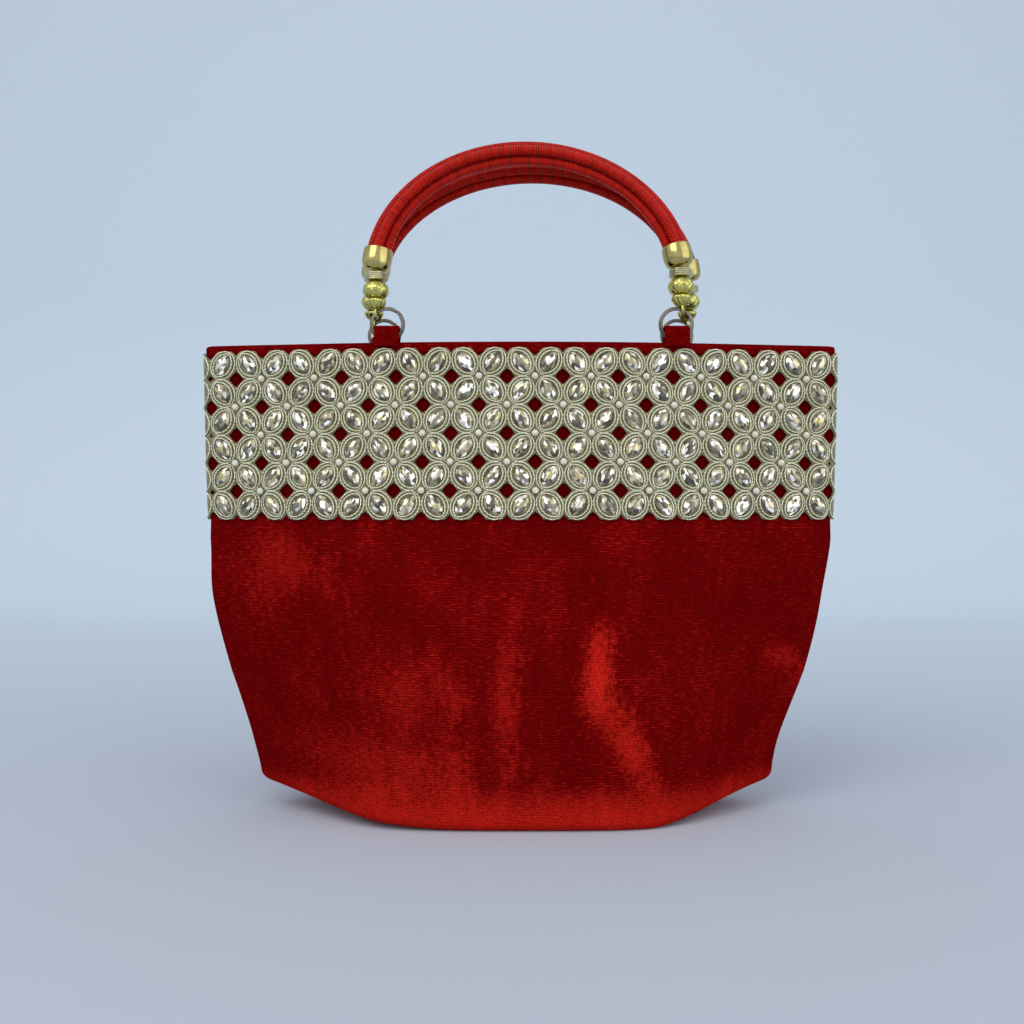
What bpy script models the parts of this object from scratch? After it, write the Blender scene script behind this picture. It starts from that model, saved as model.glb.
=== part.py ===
"""Evening handbag: a boxed velvet pouch with a stone-set lace band and two corded handles.

Metres, +Z up. The bag stands on its base at z = 0 and its front faces -Y. x = 0 lies midway
between the side seams.
"""

import math

import bmesh
import bpy
import numpy as np
from mathutils import Matrix, Vector

# The pouch
BAG_HEIGHT = 0.203
MOUTH_WIDTH = 0.276
MOUTH_DEPTH = 0.036
BASE_WIDTH = 0.223
BASE_DEPTH = 0.083
BASE_FLAT = 0.112
CORNER_LIFT = 0.012
LIFT_FADE = 0.060
BASE_ROUND = 0.0045
SEAM_RADIUS = 0.004
VELVET_WALL = 0.002
LINING_WALL = 0.0008
LINING_DROP = 0.008
LINING_GAP = 0.0005
CLEARANCE = 0.0003

# Each row of the flank: share of the height, share of the flare from the base's width to the
# mouth's, and share of the base's boxed plan that is left
FLANK = (
    (0.00, 0.00, 1.00),
    (0.10, 0.12, 1.00),
    (0.19, 0.31, 1.00),
    (0.28, 0.52, 0.97),
    (0.37, 0.72, 0.88),
    (0.46, 0.87, 0.75),
    (0.63, 0.99, 0.40),
    (0.80, 1.00, 0.14),
    (0.93, 1.00, 0.00),
    (1.00, 1.00, 0.00),
)
BASE_TURNS = (0, 30, 60, 90)
BOX_SHARPNESS = 6
OUTLINE_STEPS = 181
SEAM_STEPS = 9
RING_HALF_COUNT = 16

# The stiffening board in the base and the magnetic snap in the mouth
BOARD_LENGTH = 0.078
BOARD_DEPTH = 0.046
BOARD_THICKNESS = 0.002
BOARD_CORNER = 0.006
SNAP_RADIUS = 0.007
SNAP_THICKNESS = 0.002
SNAP_BOSS_RADIUS = 0.003
SNAP_BOSS_HEIGHT = 0.0012
SNAP_DROP = 0.018
DISC_STEPS = 16

# The lace band: a lattice of stones, pearls and holes
BAND_BOTTOM = BAG_HEIGHT - 0.075
BAND_ROW = 0.01205
BAND_ROWS = 6
BAND_COLUMNS = 46
NET_THICKNESS = 0.001
BAND_CLEARANCE = 0.0006
HOLE_HALF_WIDTH = 0.26
HOLE_HALF_HEIGHT = 0.29
PEARL_RISE = 0.0014
STONE_RISE = 0.0026
SEAM_CUTS = (0.12, 0.3, 0.5, 0.75)

# Velvet loops and split rings
HANDLE_SHIFT = 0.00475
LOOP_WIDTH = 0.0115
LOOP_GAP = 0.0052
LOOP_WALL = 0.0012
LOOP_TOP = 0.0073
LOOP_LAP = 0.0019
LOOP_STEPS = 8
RING_RADIUS = 0.0068
RING_WIRE = 0.00075
RING_STEPS = 20
RING_SIDES = 6

# The turned chain at each handle end, measured up from the ring's wire
PIN_RADIUS = 0.00055
EYE_RADIUS = 0.0021
EYE_OPEN = 35
EYE_STEPS = 10
BORE_CLEARANCE = 0.0003
CAP_BEAD_HEIGHT = 0.0030
CAP_BEAD_RADIUS = 0.0040
CAP_NECK_RADIUS = 0.0022
# Shares of the bead's radius and of its height, from the top down
CAP_PROFILE = ((0.80, 1.00), (1.00, 0.72), (0.86, 0.35))
CAP_STEPS = 10
ROUND_BEAD_HEIGHT = 0.0076
ROUND_BEAD_RADIUS = 0.0055
ROUND_BEAD_ROWS = 7
ROUND_BEAD_STEPS = 12
HEX_BEAD_HEIGHT = 0.0034
HEX_BEAD_RADIUS = 0.0051
HEX_RIB = 0.0004
HEX_RIBS = 3
FERRULE_GAP = 0.0014
FERRULE_HEIGHT = 0.0092
FERRULE_RADIUS = 0.00645
FERRULE_MOUTH_WALL = 0.0005
FERRULE_FOOT_RADIUS = 0.0040
FERRULE_FLOOR = 0.0009
# Shares of the ferrule's radius and of its height, from the mouth down
FERRULE_PROFILE = ((0.965, 1.00), (1.00, 0.70), (0.985, 0.40), (0.90, 0.14))
# The hollow: its radius at the floor as a share of its mouth's, and the height it is full at
FERRULE_HOLLOW = (0.82, 0.30)
FERRULE_STEPS = 14

# The handles
CORD_DIAMETER = 0.0042
CORD_POINTS = 18
CORD_SEAT = 0.4
HANDLE_SWAY = 0.03
HANDLE_LEAN = 6
ARCH_SPRING = 0.0155
# Per handle: the side it is on, the reach of its rings from the middle, how far round from the
# top each ring is gripped, and the rise of its arch
HANDLES = {
    "front": (-1, 0.0623, {"left": 46, "right": 20}, 0.0557),
    "back": (1, 0.0670, {"left": 42, "right": 42}, 0.0525),
}
OUTWARD = {"left": -1, "right": 1}


def clear_scene():
    for item in list(bpy.data.objects):
        bpy.data.objects.remove(item, do_unlink=True)


def material(name, colour, roughness, metallic=0.0):
    """A Principled material with one plain colour, given as red, green and blue."""
    made = bpy.data.materials.new(name)
    made.use_nodes = True
    shader = made.node_tree.nodes["Principled BSDF"]
    shader.inputs["Base Color"].default_value = (*colour, 1.0)
    shader.inputs["Roughness"].default_value = roughness
    shader.inputs["Metallic"].default_value = metallic
    made.diffuse_color = (*colour, 1.0)
    return made


def add_object(name, data, finish, parent=None):
    """Puts data into the part's collection as a named object."""
    made = bpy.data.objects.new(name, data)
    bpy.data.collections["Evening handbag"].objects.link(made)
    data.materials.append(finish)
    made.parent = parent
    return made


def solid_from(name, points, faces, finish, parent=None):
    """An object from points and faces, with every face turned outwards."""
    mesh = bpy.data.meshes.new(name)
    mesh.from_pydata([tuple(point) for point in points], [], faces)
    work = bmesh.new()
    work.from_mesh(mesh)
    bmesh.ops.recalc_face_normals(work, faces=work.faces)
    work.to_mesh(mesh)
    work.free()
    mesh.shade_smooth()
    mesh.set_sharp_from_angle(angle=math.radians(35))
    return add_object(name, mesh, finish, parent)


def turned(name, profile, steps, finish, parent=None):
    """A turned piece: a closed profile of radius and height, swept round Z."""
    mesh = bpy.data.meshes.new(name)
    count = len(profile)
    edges = [(i, (i + 1) % count) for i in range(count)]
    mesh.from_pydata([(radius, 0, height) for radius, height in profile], edges, [])
    made = add_object(name, mesh, finish, parent)
    screw = made.modifiers.new("Turn", "SCREW")
    screw.steps = steps
    screw.render_steps = steps
    screw.use_merge_vertices = True
    screw.merge_threshold = 0.00001
    screw.use_smooth_shade = steps > 6
    return made


def wire(name, points, radius, sides, finish, parent=None):
    """A round wire or cord along points, with closed ends. sides is 6 or 8."""
    curve = bpy.data.curves.new(name, "CURVE")
    curve.dimensions = "3D"
    curve.bevel_depth = radius
    curve.bevel_resolution = sides // 2 - 2
    curve.use_fill_caps = True
    spline = curve.splines.new("POLY")
    spline.points.add(len(points) - 1)
    for place, point in zip(spline.points, points):
        place.co = (*point, 1.0)
    return add_object(name, curve, finish, parent)


# The pouch


def body_at(height):
    """Half width, half depth and boxed share of the bag at a height."""
    shares, flares, boxes = zip(*FLANK)
    share = height / BAG_HEIGHT
    flare = np.interp(share, shares, flares)
    boxed = np.interp(share, shares, boxes)
    half_width = (BASE_WIDTH + (MOUTH_WIDTH - BASE_WIDTH) * flare) / 2
    half_depth = (MOUTH_DEPTH + (BASE_DEPTH - MOUTH_DEPTH) * boxed) / 2
    return half_width, half_depth, boxed


def half_outline(height, inward=0.0, inset=0.0):
    """x and y of the back half of the bag's plan, from the left seam to the right one.

    Each side is a parabola, blended with a straight-sided box where the bag is boxed, and the
    pair is grown outwards by the seam's radius, which rounds the seams.
    """
    half_width, half_depth, boxed = body_at(height)
    core_width = half_width - inset - SEAM_RADIUS
    core_depth = half_depth - inset - SEAM_RADIUS
    x = core_width * np.sin(np.linspace(-math.pi / 2, math.pi / 2, OUTLINE_STEPS))
    lens = 1 - (x / core_width) ** 2
    ramp = (core_width - abs(x)) / (core_width - BASE_FLAT / 2)
    box = ramp / (1 + ramp**BOX_SHARPNESS) ** (1 / BOX_SHARPNESS)
    y = core_depth * ((1 - boxed) * lens + boxed * box)
    heading = np.arctan2(1, -np.gradient(y, x))
    grow = SEAM_RADIUS - inward
    left = np.linspace(math.pi, heading[0], SEAM_STEPS)[:-1]
    right = np.linspace(heading[-1], 0, SEAM_STEPS)[1:]
    heading = np.concatenate([left, heading, right])
    x = np.concatenate([np.full(len(left), x[0]), x, np.full(len(right), x[-1])])
    y = np.concatenate([np.full(len(left), y[0]), y, np.full(len(right), y[-1])])
    return x + grow * np.cos(heading), y + grow * np.sin(heading)


def outline(height, shares, inward=0.0, inset=0.0):
    """Points of the whole plan at shares of its length: left seam, front, right seam, back."""
    x, y = half_outline(height, inward, inset)
    length = np.concatenate([[0], np.cumsum(np.hypot(np.diff(x), np.diff(y)))])
    shares = np.asarray(shares) % 1.0
    along = np.where(shares <= 0.5, 2 * shares, 2 - 2 * shares) * length[-1]
    side = np.where(shares <= 0.5, -1, 1)
    return np.interp(along, length, x), side * np.interp(along, length, y)


def ring_shares():
    """Shares of the outline for one ring of points, closer together at the seams."""
    step = (1 - np.cos(np.pi * np.arange(RING_HALF_COUNT + 1) / RING_HALF_COUNT)) / 4
    return np.concatenate([step, 1 - step[-2:0:-1]])


def corner_lift(x, height):
    """How far the base's soft corners rise off the ground, fading out up the sides."""
    start = BASE_FLAT / 2
    share = np.clip((abs(x) - start) / (BASE_WIDTH / 2 - start), 0, 1)
    return CORNER_LIFT * share * np.clip(1 - height / LIFT_FADE, 0, 1)


def skin(side_gap, floor_gap, top):
    """Rings of the surface side_gap inside the bag's walls and floor_gap above its floor."""
    stations = []
    for turn in np.radians(BASE_TURNS):
        level = BASE_ROUND * (1 - math.cos(turn))
        inset = BASE_ROUND * (1 - math.sin(turn))
        stations.append((level, side_gap * math.sin(turn), floor_gap * math.cos(turn), inset))
    levels = [share * BAG_HEIGHT for share, _, _ in FLANK]
    levels = [level for level in levels if BASE_ROUND < level < top] + [top]
    stations += [(level, side_gap, 0.0, 0.0) for level in levels]
    rings = []
    for level, inward, floor, inset in stations:
        x, y = outline(level, ring_shares(), inward, inset)
        rings.append(np.column_stack([x, y, level + floor + corner_lift(x, level)]))
    return rings


def pouch(name, outer, inner, finish):
    """An open bag between an outer and an inner skin, each a list of rings from the floor up.

    Both skins are split along the same diagonals, so that nested bags keep an even gap.
    """
    rings = outer + inner[::-1]
    count = len(rings[0])
    half = count // 2
    faces = []
    for level in range(len(rings) - 1):
        for i in range(count):
            here, beside = level * count + i, level * count + (i + 1) % count
            if level < len(outer):
                faces += [(here, beside, beside + count), (here, beside + count, here + count)]
            else:
                faces += [(here, beside, here + count), (beside, beside + count, here + count)]
    for first in (0, (len(rings) - 1) * count):
        for i in range(half):
            corners = [i, i + 1, count - i - 1, (count - i) % count]
            faces.append([first + corner for corner in dict.fromkeys(corners)])
    return solid_from(name, np.concatenate(rings), faces, finish)


def make_pouch(velvet, satin):
    """The velvet shell and the satin lining inside it, which clears the base board."""
    pouch(
        "velvet_shell",
        skin(0.0, 0.0, BAG_HEIGHT),
        skin(VELVET_WALL, VELVET_WALL, BAG_HEIGHT),
        velvet,
    )
    side = VELVET_WALL + LINING_GAP
    floor = VELVET_WALL + BOARD_THICKNESS + 2 * CLEARANCE
    top = BAG_HEIGHT - LINING_DROP
    pouch(
        "satin_lining",
        skin(side, floor, top),
        skin(side + LINING_WALL, floor + LINING_WALL, top),
        satin,
    )


def make_base_board(board):
    """A stiff board with rounded corners, lying on the velvet of the base."""
    bpy.ops.mesh.primitive_cube_add(size=1)
    made = bpy.context.object
    made.name = "base_board"
    made.data.transform(Matrix.Diagonal((BOARD_LENGTH, BOARD_DEPTH, BOARD_THICKNESS, 1)))
    made.location.z = VELVET_WALL + CLEARANCE + BOARD_THICKNESS / 2
    made.data.materials.append(board)
    keep_in_part(made)
    upright = [e.index for e in made.data.edges if is_upright(made.data, e)]
    weights = made.data.attributes.new("bevel_weight_edge", "FLOAT", "EDGE")
    for index in upright:
        weights.data[index].value = 1.0
    bevel = made.modifiers.new("Corners", "BEVEL")
    bevel.limit_method = "WEIGHT"
    bevel.width = BOARD_CORNER
    bevel.segments = 3


def is_upright(mesh, edge):
    ends = [mesh.vertices[i].co for i in edge.vertices]
    return (ends[0] - ends[1]).xy.length < BOARD_THICKNESS / 2


def keep_in_part(item):
    """Moves an object made by an operator into the part's collection."""
    for collection in list(item.users_collection):
        collection.objects.unlink(item)
    bpy.data.collections["Evening handbag"].objects.link(item)


def make_snap(steel):
    """The two halves of a magnetic snap, one on each inner face of the mouth."""
    level = BAG_HEIGHT - SNAP_DROP
    wall = VELVET_WALL + LINING_GAP + LINING_WALL + CLEARANCE
    face = body_at(level + SNAP_RADIUS)[1] - wall
    disc = SNAP_THICKNESS
    stud_tip = disc + SNAP_BOSS_HEIGHT
    stud = [(0, stud_tip), (SNAP_BOSS_RADIUS, stud_tip), (SNAP_BOSS_RADIUS, disc)]
    stud += [(SNAP_RADIUS, disc), (SNAP_RADIUS, 0), (0, 0)]
    well = SNAP_BOSS_RADIUS + CLEARANCE
    socket = [(0, disc - SNAP_BOSS_HEIGHT), (well, disc - SNAP_BOSS_HEIGHT), (well, disc)]
    socket += [(SNAP_RADIUS, disc), (SNAP_RADIUS, 0), (0, 0)]
    for name, profile, side in (("snap_stud", stud, 1), ("snap_socket", socket, -1)):
        made = turned_disc(name, profile, steel)
        made.location = (0, side * face, level)
        made.rotation_euler.x = side * math.pi / 2


def turned_disc(name, profile, finish):
    """A turned piece whose profile starts and ends on the axis, so its ends close there."""
    mesh = bpy.data.meshes.new(name)
    count = len(profile)
    edges = [(i, i + 1) for i in range(count - 1)]
    mesh.from_pydata([(radius, 0, height) for radius, height in profile], edges, [])
    made = add_object(name, mesh, finish)
    screw = made.modifiers.new("Turn", "SCREW")
    screw.steps = DISC_STEPS
    screw.render_steps = DISC_STEPS
    screw.use_merge_vertices = True
    screw.merge_threshold = 0.00001
    return made


# The lace band


def tile_corners(column, row):
    """Points of one stone's tile in lattice units, its corners cut off at holes and scallops."""
    points = []
    for right, up in ((0, 0), (1, 0), (1, 1), (0, 1)):
        u, v = column + right, row + up
        inward_u = -1 if right else 1
        inward_v = -1 if up else 1
        if 0 < v < BAND_ROWS and (u + v) % 2:
            points.append((u, v, PEARL_RISE))
            continue
        side = (u + inward_u * HOLE_HALF_WIDTH, v, 0.0)
        level = (u, v + inward_v * HOLE_HALF_HEIGHT, 0.0)
        points += [level, side] if right == up else [side, level]
    return points


def is_cut_edge(start, end):
    """Whether a tile's edge borders a hole or the band's rim, and so needs a wall."""
    slanted = start[0] != end[0] and start[1] != end[1]
    rim = start[1] == end[1] and start[1] in (0, BAND_ROWS)
    return slanted or rim


def flat_band():
    """The band laid flat, as a bmesh whose x is columns, y rows, and z the rise off the net."""
    work = bmesh.new()
    known = {}

    def vertex(u, v, rise):
        key = (round(u, 4), round(v, 4), round(rise, 6))
        if key not in known:
            known[key] = work.verts.new(key)
        return known[key]

    for column in range(BAND_COLUMNS):
        for row in range(BAND_ROWS):
            corners = tile_corners(column, row)
            peak = vertex(column + 0.5, row + 0.5, STONE_RISE)
            for start, end in zip(corners, corners[1:] + corners[:1]):
                front = (vertex(*start), vertex(*end))
                work.faces.new((*front, peak))
                if is_cut_edge(start, end):
                    back = (vertex(*start[:2], -NET_THICKNESS), vertex(*end[:2], -NET_THICKNESS))
                    work.faces.new((back[0], back[1], front[1], front[0]))
            back = [vertex(u, v, -NET_THICKNESS) for u, v, _ in corners]
            work.faces.new(back[::-1])
    return work


def make_lace_band(lace):
    """The flat band, creased finely near the seams, then wrapped round the bag's outline."""
    work = flat_band()
    half = BAND_COLUMNS / 2
    seams = (0, half, 2 * half)
    cuts = {seam + side * cut for seam in seams for cut in SEAM_CUTS for side in (-1, 1)}
    for cut in sorted(cut for cut in cuts if 0 < cut < BAND_COLUMNS):
        everything = work.verts[:] + work.edges[:] + work.faces[:]
        bmesh.ops.bisect_plane(work, geom=everything, plane_co=(cut, 0, 0), plane_no=(1, 0, 0))
    for vertex in work.verts:
        column, row, rise = vertex.co
        level = BAND_BOTTOM + row * BAND_ROW
        outward = BAND_CLEARANCE + NET_THICKNESS + rise
        x, y = outline(level, [column / BAND_COLUMNS], -outward)
        vertex.co = (x[0], y[0], level)
    bmesh.ops.remove_doubles(work, verts=work.verts, dist=0.00001)
    bmesh.ops.recalc_face_normals(work, faces=work.faces)
    mesh = bpy.data.meshes.new("lace_band")
    work.to_mesh(mesh)
    work.free()
    add_object("lace_band", mesh, lace)


# Loops and rings


def rim_y(x, side):
    """y of the middle of the velvet wall at the mouth's rim."""
    rim_x, rim_back = half_outline(BAG_HEIGHT, VELVET_WALL / 2)
    return side * np.interp(x, rim_x, rim_back)


def ring_pivot(style, end):
    """Where a ring turns: a point inside its velvet loop, on the line that its pair shares."""
    side, reach, _, _ = HANDLES[style]
    places = {which: HANDLE_SHIFT + OUTWARD[which] * reach for which in OUTWARD}
    y = sum(rim_y(x, side) for x in places.values()) / 2
    return Vector((places[end], y, BAG_HEIGHT + CLEARANCE + RING_WIRE + ring_dip() / 2))


def ring_dip():
    """Height between the ring's lowest point and where its wire leaves the loop's sides."""
    half = LOOP_WIDTH / 2
    return RING_RADIUS - math.sqrt(RING_RADIUS**2 - half**2)


def make_loop(style, end, velvet):
    """A velvet strap folded over the ring, its two legs lapped over the mouth's rim."""
    pivot = ring_pivot(style, end)
    inner = LOOP_GAP / 2
    bend = BAG_HEIGHT + LOOP_TOP - LOOP_WALL - inner
    foot = BAG_HEIGHT - LOOP_LAP
    turns = np.linspace(0, math.pi, LOOP_STEPS + 1)
    fold = [(inner * math.cos(turn), bend + inner * math.sin(turn)) for turn in turns]
    profile = [(inner, foot)] + fold + [(-inner, foot)]
    points = [(x, y, z) for x in (-LOOP_WIDTH / 2, LOOP_WIDTH / 2) for y, z in profile]
    count = len(profile)
    faces = [(i, i + 1, i + count + 1, i + count) for i in range(count - 1)]
    mesh = bpy.data.meshes.new(f"loop_{style}_{end}")
    mesh.from_pydata(points, [], faces)
    made = add_object(mesh.name, mesh, velvet)
    made.location = (pivot.x, pivot.y, 0)
    strap = made.modifiers.new("Strap", "SOLIDIFY")
    strap.thickness = LOOP_WALL
    strap.offset = 1
    strap.use_even_offset = True


def make_ring(style, end, steel):
    """A ring standing in its loop, with its origin on the line it turns about."""
    bpy.ops.mesh.primitive_torus_add(
        major_radius=RING_RADIUS,
        minor_radius=RING_WIRE,
        major_segments=RING_STEPS,
        minor_segments=RING_SIDES,
    )
    made = bpy.context.object
    made.name = f"ring_{style}_{end}"
    upright = Matrix.Rotation(math.pi / 2, 4, "X")
    made.data.transform(Matrix.Translation((0, 0, ring_centre_height())) @ upright)
    made.location = ring_pivot(style, end)
    made.data.materials.append(steel)
    made.data.shade_smooth()
    keep_in_part(made)


def ring_centre_height():
    """Height of a ring's centre over the line it turns about."""
    return RING_RADIUS - ring_dip() / 2


# Handles


def grip_point(style, end):
    """Where the handle's eye holds the ring's wire."""
    turn = math.radians(HANDLES[style][2][end])
    reach = OUTWARD[end] * RING_RADIUS * math.sin(turn)
    rise = ring_centre_height() + RING_RADIUS * math.cos(turn)
    return ring_pivot(style, end) + Vector((reach, 0, rise))


def make_handle_frame(style):
    """An empty midway between a handle's eyes: x along its hinge line, z up its lean."""
    left, right = grip_point(style, "left"), grip_point(style, "right")
    along = (right - left).normalized()
    level = Vector((0, 1, 0))
    up = along.cross(level)
    lean = Matrix.Rotation(math.radians(HANDLE_LEAN) * HANDLES[style][0], 4, along)
    axes = Matrix((along, level, up)).transposed().to_4x4()
    frame = bpy.data.objects.new(f"{style}_handle_hinge", None)
    bpy.data.collections["Evening handbag"].objects.link(frame)
    frame.matrix_world = Matrix.Translation((left + right) / 2) @ lean @ axes
    return frame, (right - left).length / 2


def arch_point(style, half_span, turn):
    """x and z of the arch's centre line, turn running from 0 at the right to pi at the left."""
    rise = HANDLES[style][3]
    x = half_span * math.cos(turn) - HANDLE_SWAY * rise * math.sin(turn)
    return np.array([x, ARCH_SPRING + rise * math.sin(turn)])


def arch_turn(style, height, end):
    """The turn at which the arch's centre line passes a height over the hinge line."""
    turn = math.asin((height - ARCH_SPRING) / HANDLES[style][3])
    return turn if end == "right" else math.pi - turn


def arch_heading(style, half_span, turn):
    """Unit direction of the arch at a turn, and the unit normal that points outwards."""
    step = 0.001
    ahead = arch_point(style, half_span, turn + step) - arch_point(style, half_span, turn - step)
    ahead /= np.hypot(*ahead)
    return ahead, np.array([ahead[1], -ahead[0]])


def stack_heights():
    """Lower end of each bead and of the ferrule, over the hinge line."""
    cap = EYE_RADIUS + PIN_RADIUS + CLEARANCE
    ball = cap + CAP_BEAD_HEIGHT + CLEARANCE
    hexagon = ball + ROUND_BEAD_HEIGHT + CLEARANCE
    ferrule = hexagon + HEX_BEAD_HEIGHT + FERRULE_GAP
    return cap, ball, hexagon, ferrule


def make_eye_pin(name, x, gold, frame):
    """A pin through the beads whose lower end is bent into an eye round the ring's wire."""
    ferrule = stack_heights()[3]
    tip = ferrule + FERRULE_FLOOR + CLEARANCE
    turns = np.radians(np.linspace(EYE_OPEN, 360 - EYE_OPEN, EYE_STEPS))
    eye = [(x, EYE_RADIUS * math.sin(a), EYE_RADIUS * math.cos(a)) for a in turns]
    neck = EYE_RADIUS + PIN_RADIUS
    wire(name, [(x, 0, tip), (x, 0, neck)] + eye, PIN_RADIUS, 6, gold, frame)


def make_cap_bead(name, x, gold, frame):
    bore = PIN_RADIUS + BORE_CLEARANCE
    outer = [(CAP_BEAD_RADIUS * wide, CAP_BEAD_HEIGHT * high) for wide, high in CAP_PROFILE]
    profile = [(bore, CAP_BEAD_HEIGHT)] + outer + [(CAP_NECK_RADIUS, 0), (bore, 0)]
    made = turned(name, profile, CAP_STEPS, gold, frame)
    made.location = (x, 0, stack_heights()[0])


def make_round_bead(name, x, gold, frame):
    bore = PIN_RADIUS + BORE_CLEARANCE
    half = ROUND_BEAD_HEIGHT / 2
    start = math.asin((bore + PIN_RADIUS) / ROUND_BEAD_RADIUS)
    turns = np.linspace(start, math.pi - start, ROUND_BEAD_ROWS)
    outer = [(ROUND_BEAD_RADIUS * math.sin(a), half + half * math.cos(a)) for a in turns]
    profile = [(bore, outer[0][1])] + outer + [(bore, outer[-1][1])]
    made = turned(name, profile, ROUND_BEAD_STEPS, gold, frame)
    made.location = (x, 0, stack_heights()[1])


def make_hex_bead(name, x, gold, frame):
    """A six-sided bead with ribs round it."""
    bore = PIN_RADIUS + BORE_CLEARANCE
    outer = []
    for rib in range(HEX_RIBS, 0, -1):
        crest = HEX_BEAD_HEIGHT * (rib - 0.5) / HEX_RIBS
        groove = HEX_BEAD_HEIGHT * (rib - 1) / HEX_RIBS
        outer += [(HEX_BEAD_RADIUS, crest), (HEX_BEAD_RADIUS - HEX_RIB, groove)]
    outer = [(HEX_BEAD_RADIUS - HEX_RIB, HEX_BEAD_HEIGHT)] + outer
    profile = [(bore, HEX_BEAD_HEIGHT)] + outer + [(bore, 0)]
    made = turned(name, profile, 6, gold, frame)
    made.location = (x, 0, stack_heights()[2])


def make_ferrule(name, style, end, half_span, brass, frame):
    """A barrel-shaped cup that holds the four cords, square to the arch where it sits."""
    bore = PIN_RADIUS + 2 * BORE_CLEARANCE
    outer = [(FERRULE_RADIUS * wide, FERRULE_HEIGHT * high) for wide, high in FERRULE_PROFILE]
    hollow = outer[0][0] - FERRULE_MOUTH_WALL
    narrow, full = FERRULE_HOLLOW
    inner = [(bore, 0), (bore, FERRULE_FLOOR), (hollow * narrow, FERRULE_FLOOR)]
    inner += [(hollow, FERRULE_HEIGHT * full), (hollow, FERRULE_HEIGHT)]
    profile = outer + [(FERRULE_FOOT_RADIUS, 0)] + inner
    made = turned(name, profile, FERRULE_STEPS, brass, frame)
    middle = stack_heights()[3] + FERRULE_HEIGHT / 2
    turn = arch_turn(style, middle, end)
    x, z = arch_point(style, half_span, turn)
    ahead, _ = arch_heading(style, half_span, turn)
    up = ahead if ahead[1] > 0 else -ahead
    tilt = math.atan2(up[0], up[1])
    down = Matrix.Translation((0, 0, -FERRULE_HEIGHT / 2))
    made.matrix_local = Matrix.Translation((x, 0, z)) @ Matrix.Rotation(tilt, 4, "Y") @ down


def make_cords(style, half_span, thread, frame):
    """Four cords side by side round the arch's centre line, their ends inside the ferrules."""
    foot = stack_heights()[3] + FERRULE_HEIGHT * CORD_SEAT
    first, last = arch_turn(style, foot, "right"), arch_turn(style, foot, "left")
    reach = (CORD_DIAMETER + CLEARANCE) / math.sqrt(2)
    offsets = {"outer": (reach, 0), "inner": (-reach, 0), "near": (0, -reach), "far": (0, reach)}
    for place, (outward, across) in offsets.items():
        points = []
        for turn in np.linspace(first, last, CORD_POINTS):
            normal = arch_heading(style, half_span, turn)[1]
            x, z = arch_point(style, half_span, turn) + outward * normal
            points.append((x, across, z))
        wire(f"cord_{style}_{place}", points, CORD_DIAMETER / 2, 8, thread, frame)


def make_handle(style, finishes):
    """One handle: four cords in two ferrules, each on a stack of beads and an eye pin."""
    frame, half_span = make_handle_frame(style)
    for end in OUTWARD:
        x = OUTWARD[end] * half_span
        make_eye_pin(f"eye_pin_{style}_{end}", x, finishes["gold"], frame)
        make_cap_bead(f"cap_bead_{style}_{end}", x, finishes["gold"], frame)
        make_round_bead(f"round_bead_{style}_{end}", x, finishes["gold"], frame)
        make_hex_bead(f"hex_bead_{style}_{end}", x, finishes["pale gold"], frame)
        make_ferrule(f"ferrule_{style}_{end}", style, end, half_span, finishes["brass"], frame)
    make_cords(style, half_span, finishes["thread"], frame)


def main():
    clear_scene()
    part = bpy.data.collections.new("Evening handbag")
    bpy.context.scene.collection.children.link(part)
    velvet = material("Red velvet", (0.30, 0.004, 0.006), 0.9)
    finishes = {
        "gold": material("Carved gold", (0.72, 0.62, 0.22), 0.35, 1.0),
        "pale gold": material("Pale ribbed gold", (0.74, 0.68, 0.42), 0.35, 1.0),
        "brass": material("Polished brass", (0.66, 0.55, 0.20), 0.2, 1.0),
        "thread": material("Wound red thread", (0.42, 0.02, 0.015), 0.5),
    }
    steel = material("Split-ring steel", (0.42, 0.38, 0.33), 0.3, 1.0)
    make_pouch(velvet, material("Wine satin lining", (0.22, 0.01, 0.012), 0.5))
    make_base_board(material("Board", (0.25, 0.22, 0.18), 0.9))
    make_snap(steel)
    make_lace_band(material("Gold lace with stones", (0.60, 0.56, 0.38), 0.5))
    for style in HANDLES:
        for end in OUTWARD:
            make_loop(style, end, velvet)
            make_ring(style, end, steel)
        make_handle(style, finishes)


main()
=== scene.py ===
import math
from collections import namedtuple
from itertools import product

import bpy
import numpy as np
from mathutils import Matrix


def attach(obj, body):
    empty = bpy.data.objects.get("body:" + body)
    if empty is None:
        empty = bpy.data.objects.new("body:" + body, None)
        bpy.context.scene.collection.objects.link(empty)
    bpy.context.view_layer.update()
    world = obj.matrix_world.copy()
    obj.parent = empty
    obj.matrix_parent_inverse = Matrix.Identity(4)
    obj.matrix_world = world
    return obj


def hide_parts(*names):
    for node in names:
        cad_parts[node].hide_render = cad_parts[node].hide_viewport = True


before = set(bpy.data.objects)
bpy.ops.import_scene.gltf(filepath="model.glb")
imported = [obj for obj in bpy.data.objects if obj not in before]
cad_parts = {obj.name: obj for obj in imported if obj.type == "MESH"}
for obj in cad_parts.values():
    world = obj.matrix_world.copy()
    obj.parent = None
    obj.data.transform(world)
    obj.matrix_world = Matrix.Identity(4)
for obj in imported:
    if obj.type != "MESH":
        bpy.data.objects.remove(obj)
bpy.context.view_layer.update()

bl_info = {
    "name": "Evening handbag",
    "version": (1, 0, 0),
    "blender": (4, 5, 0),
    "location": "3D View > Sidebar > Handbag",
    "description": "Velvet evening bag with a stone-set lace band and corded handles",
    "category": "Object",
}

# Sizes that the solids share, in metres. x = 0 lies midway between the side seams, the bag
# stands at z = 0 and its front faces -Y

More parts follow.
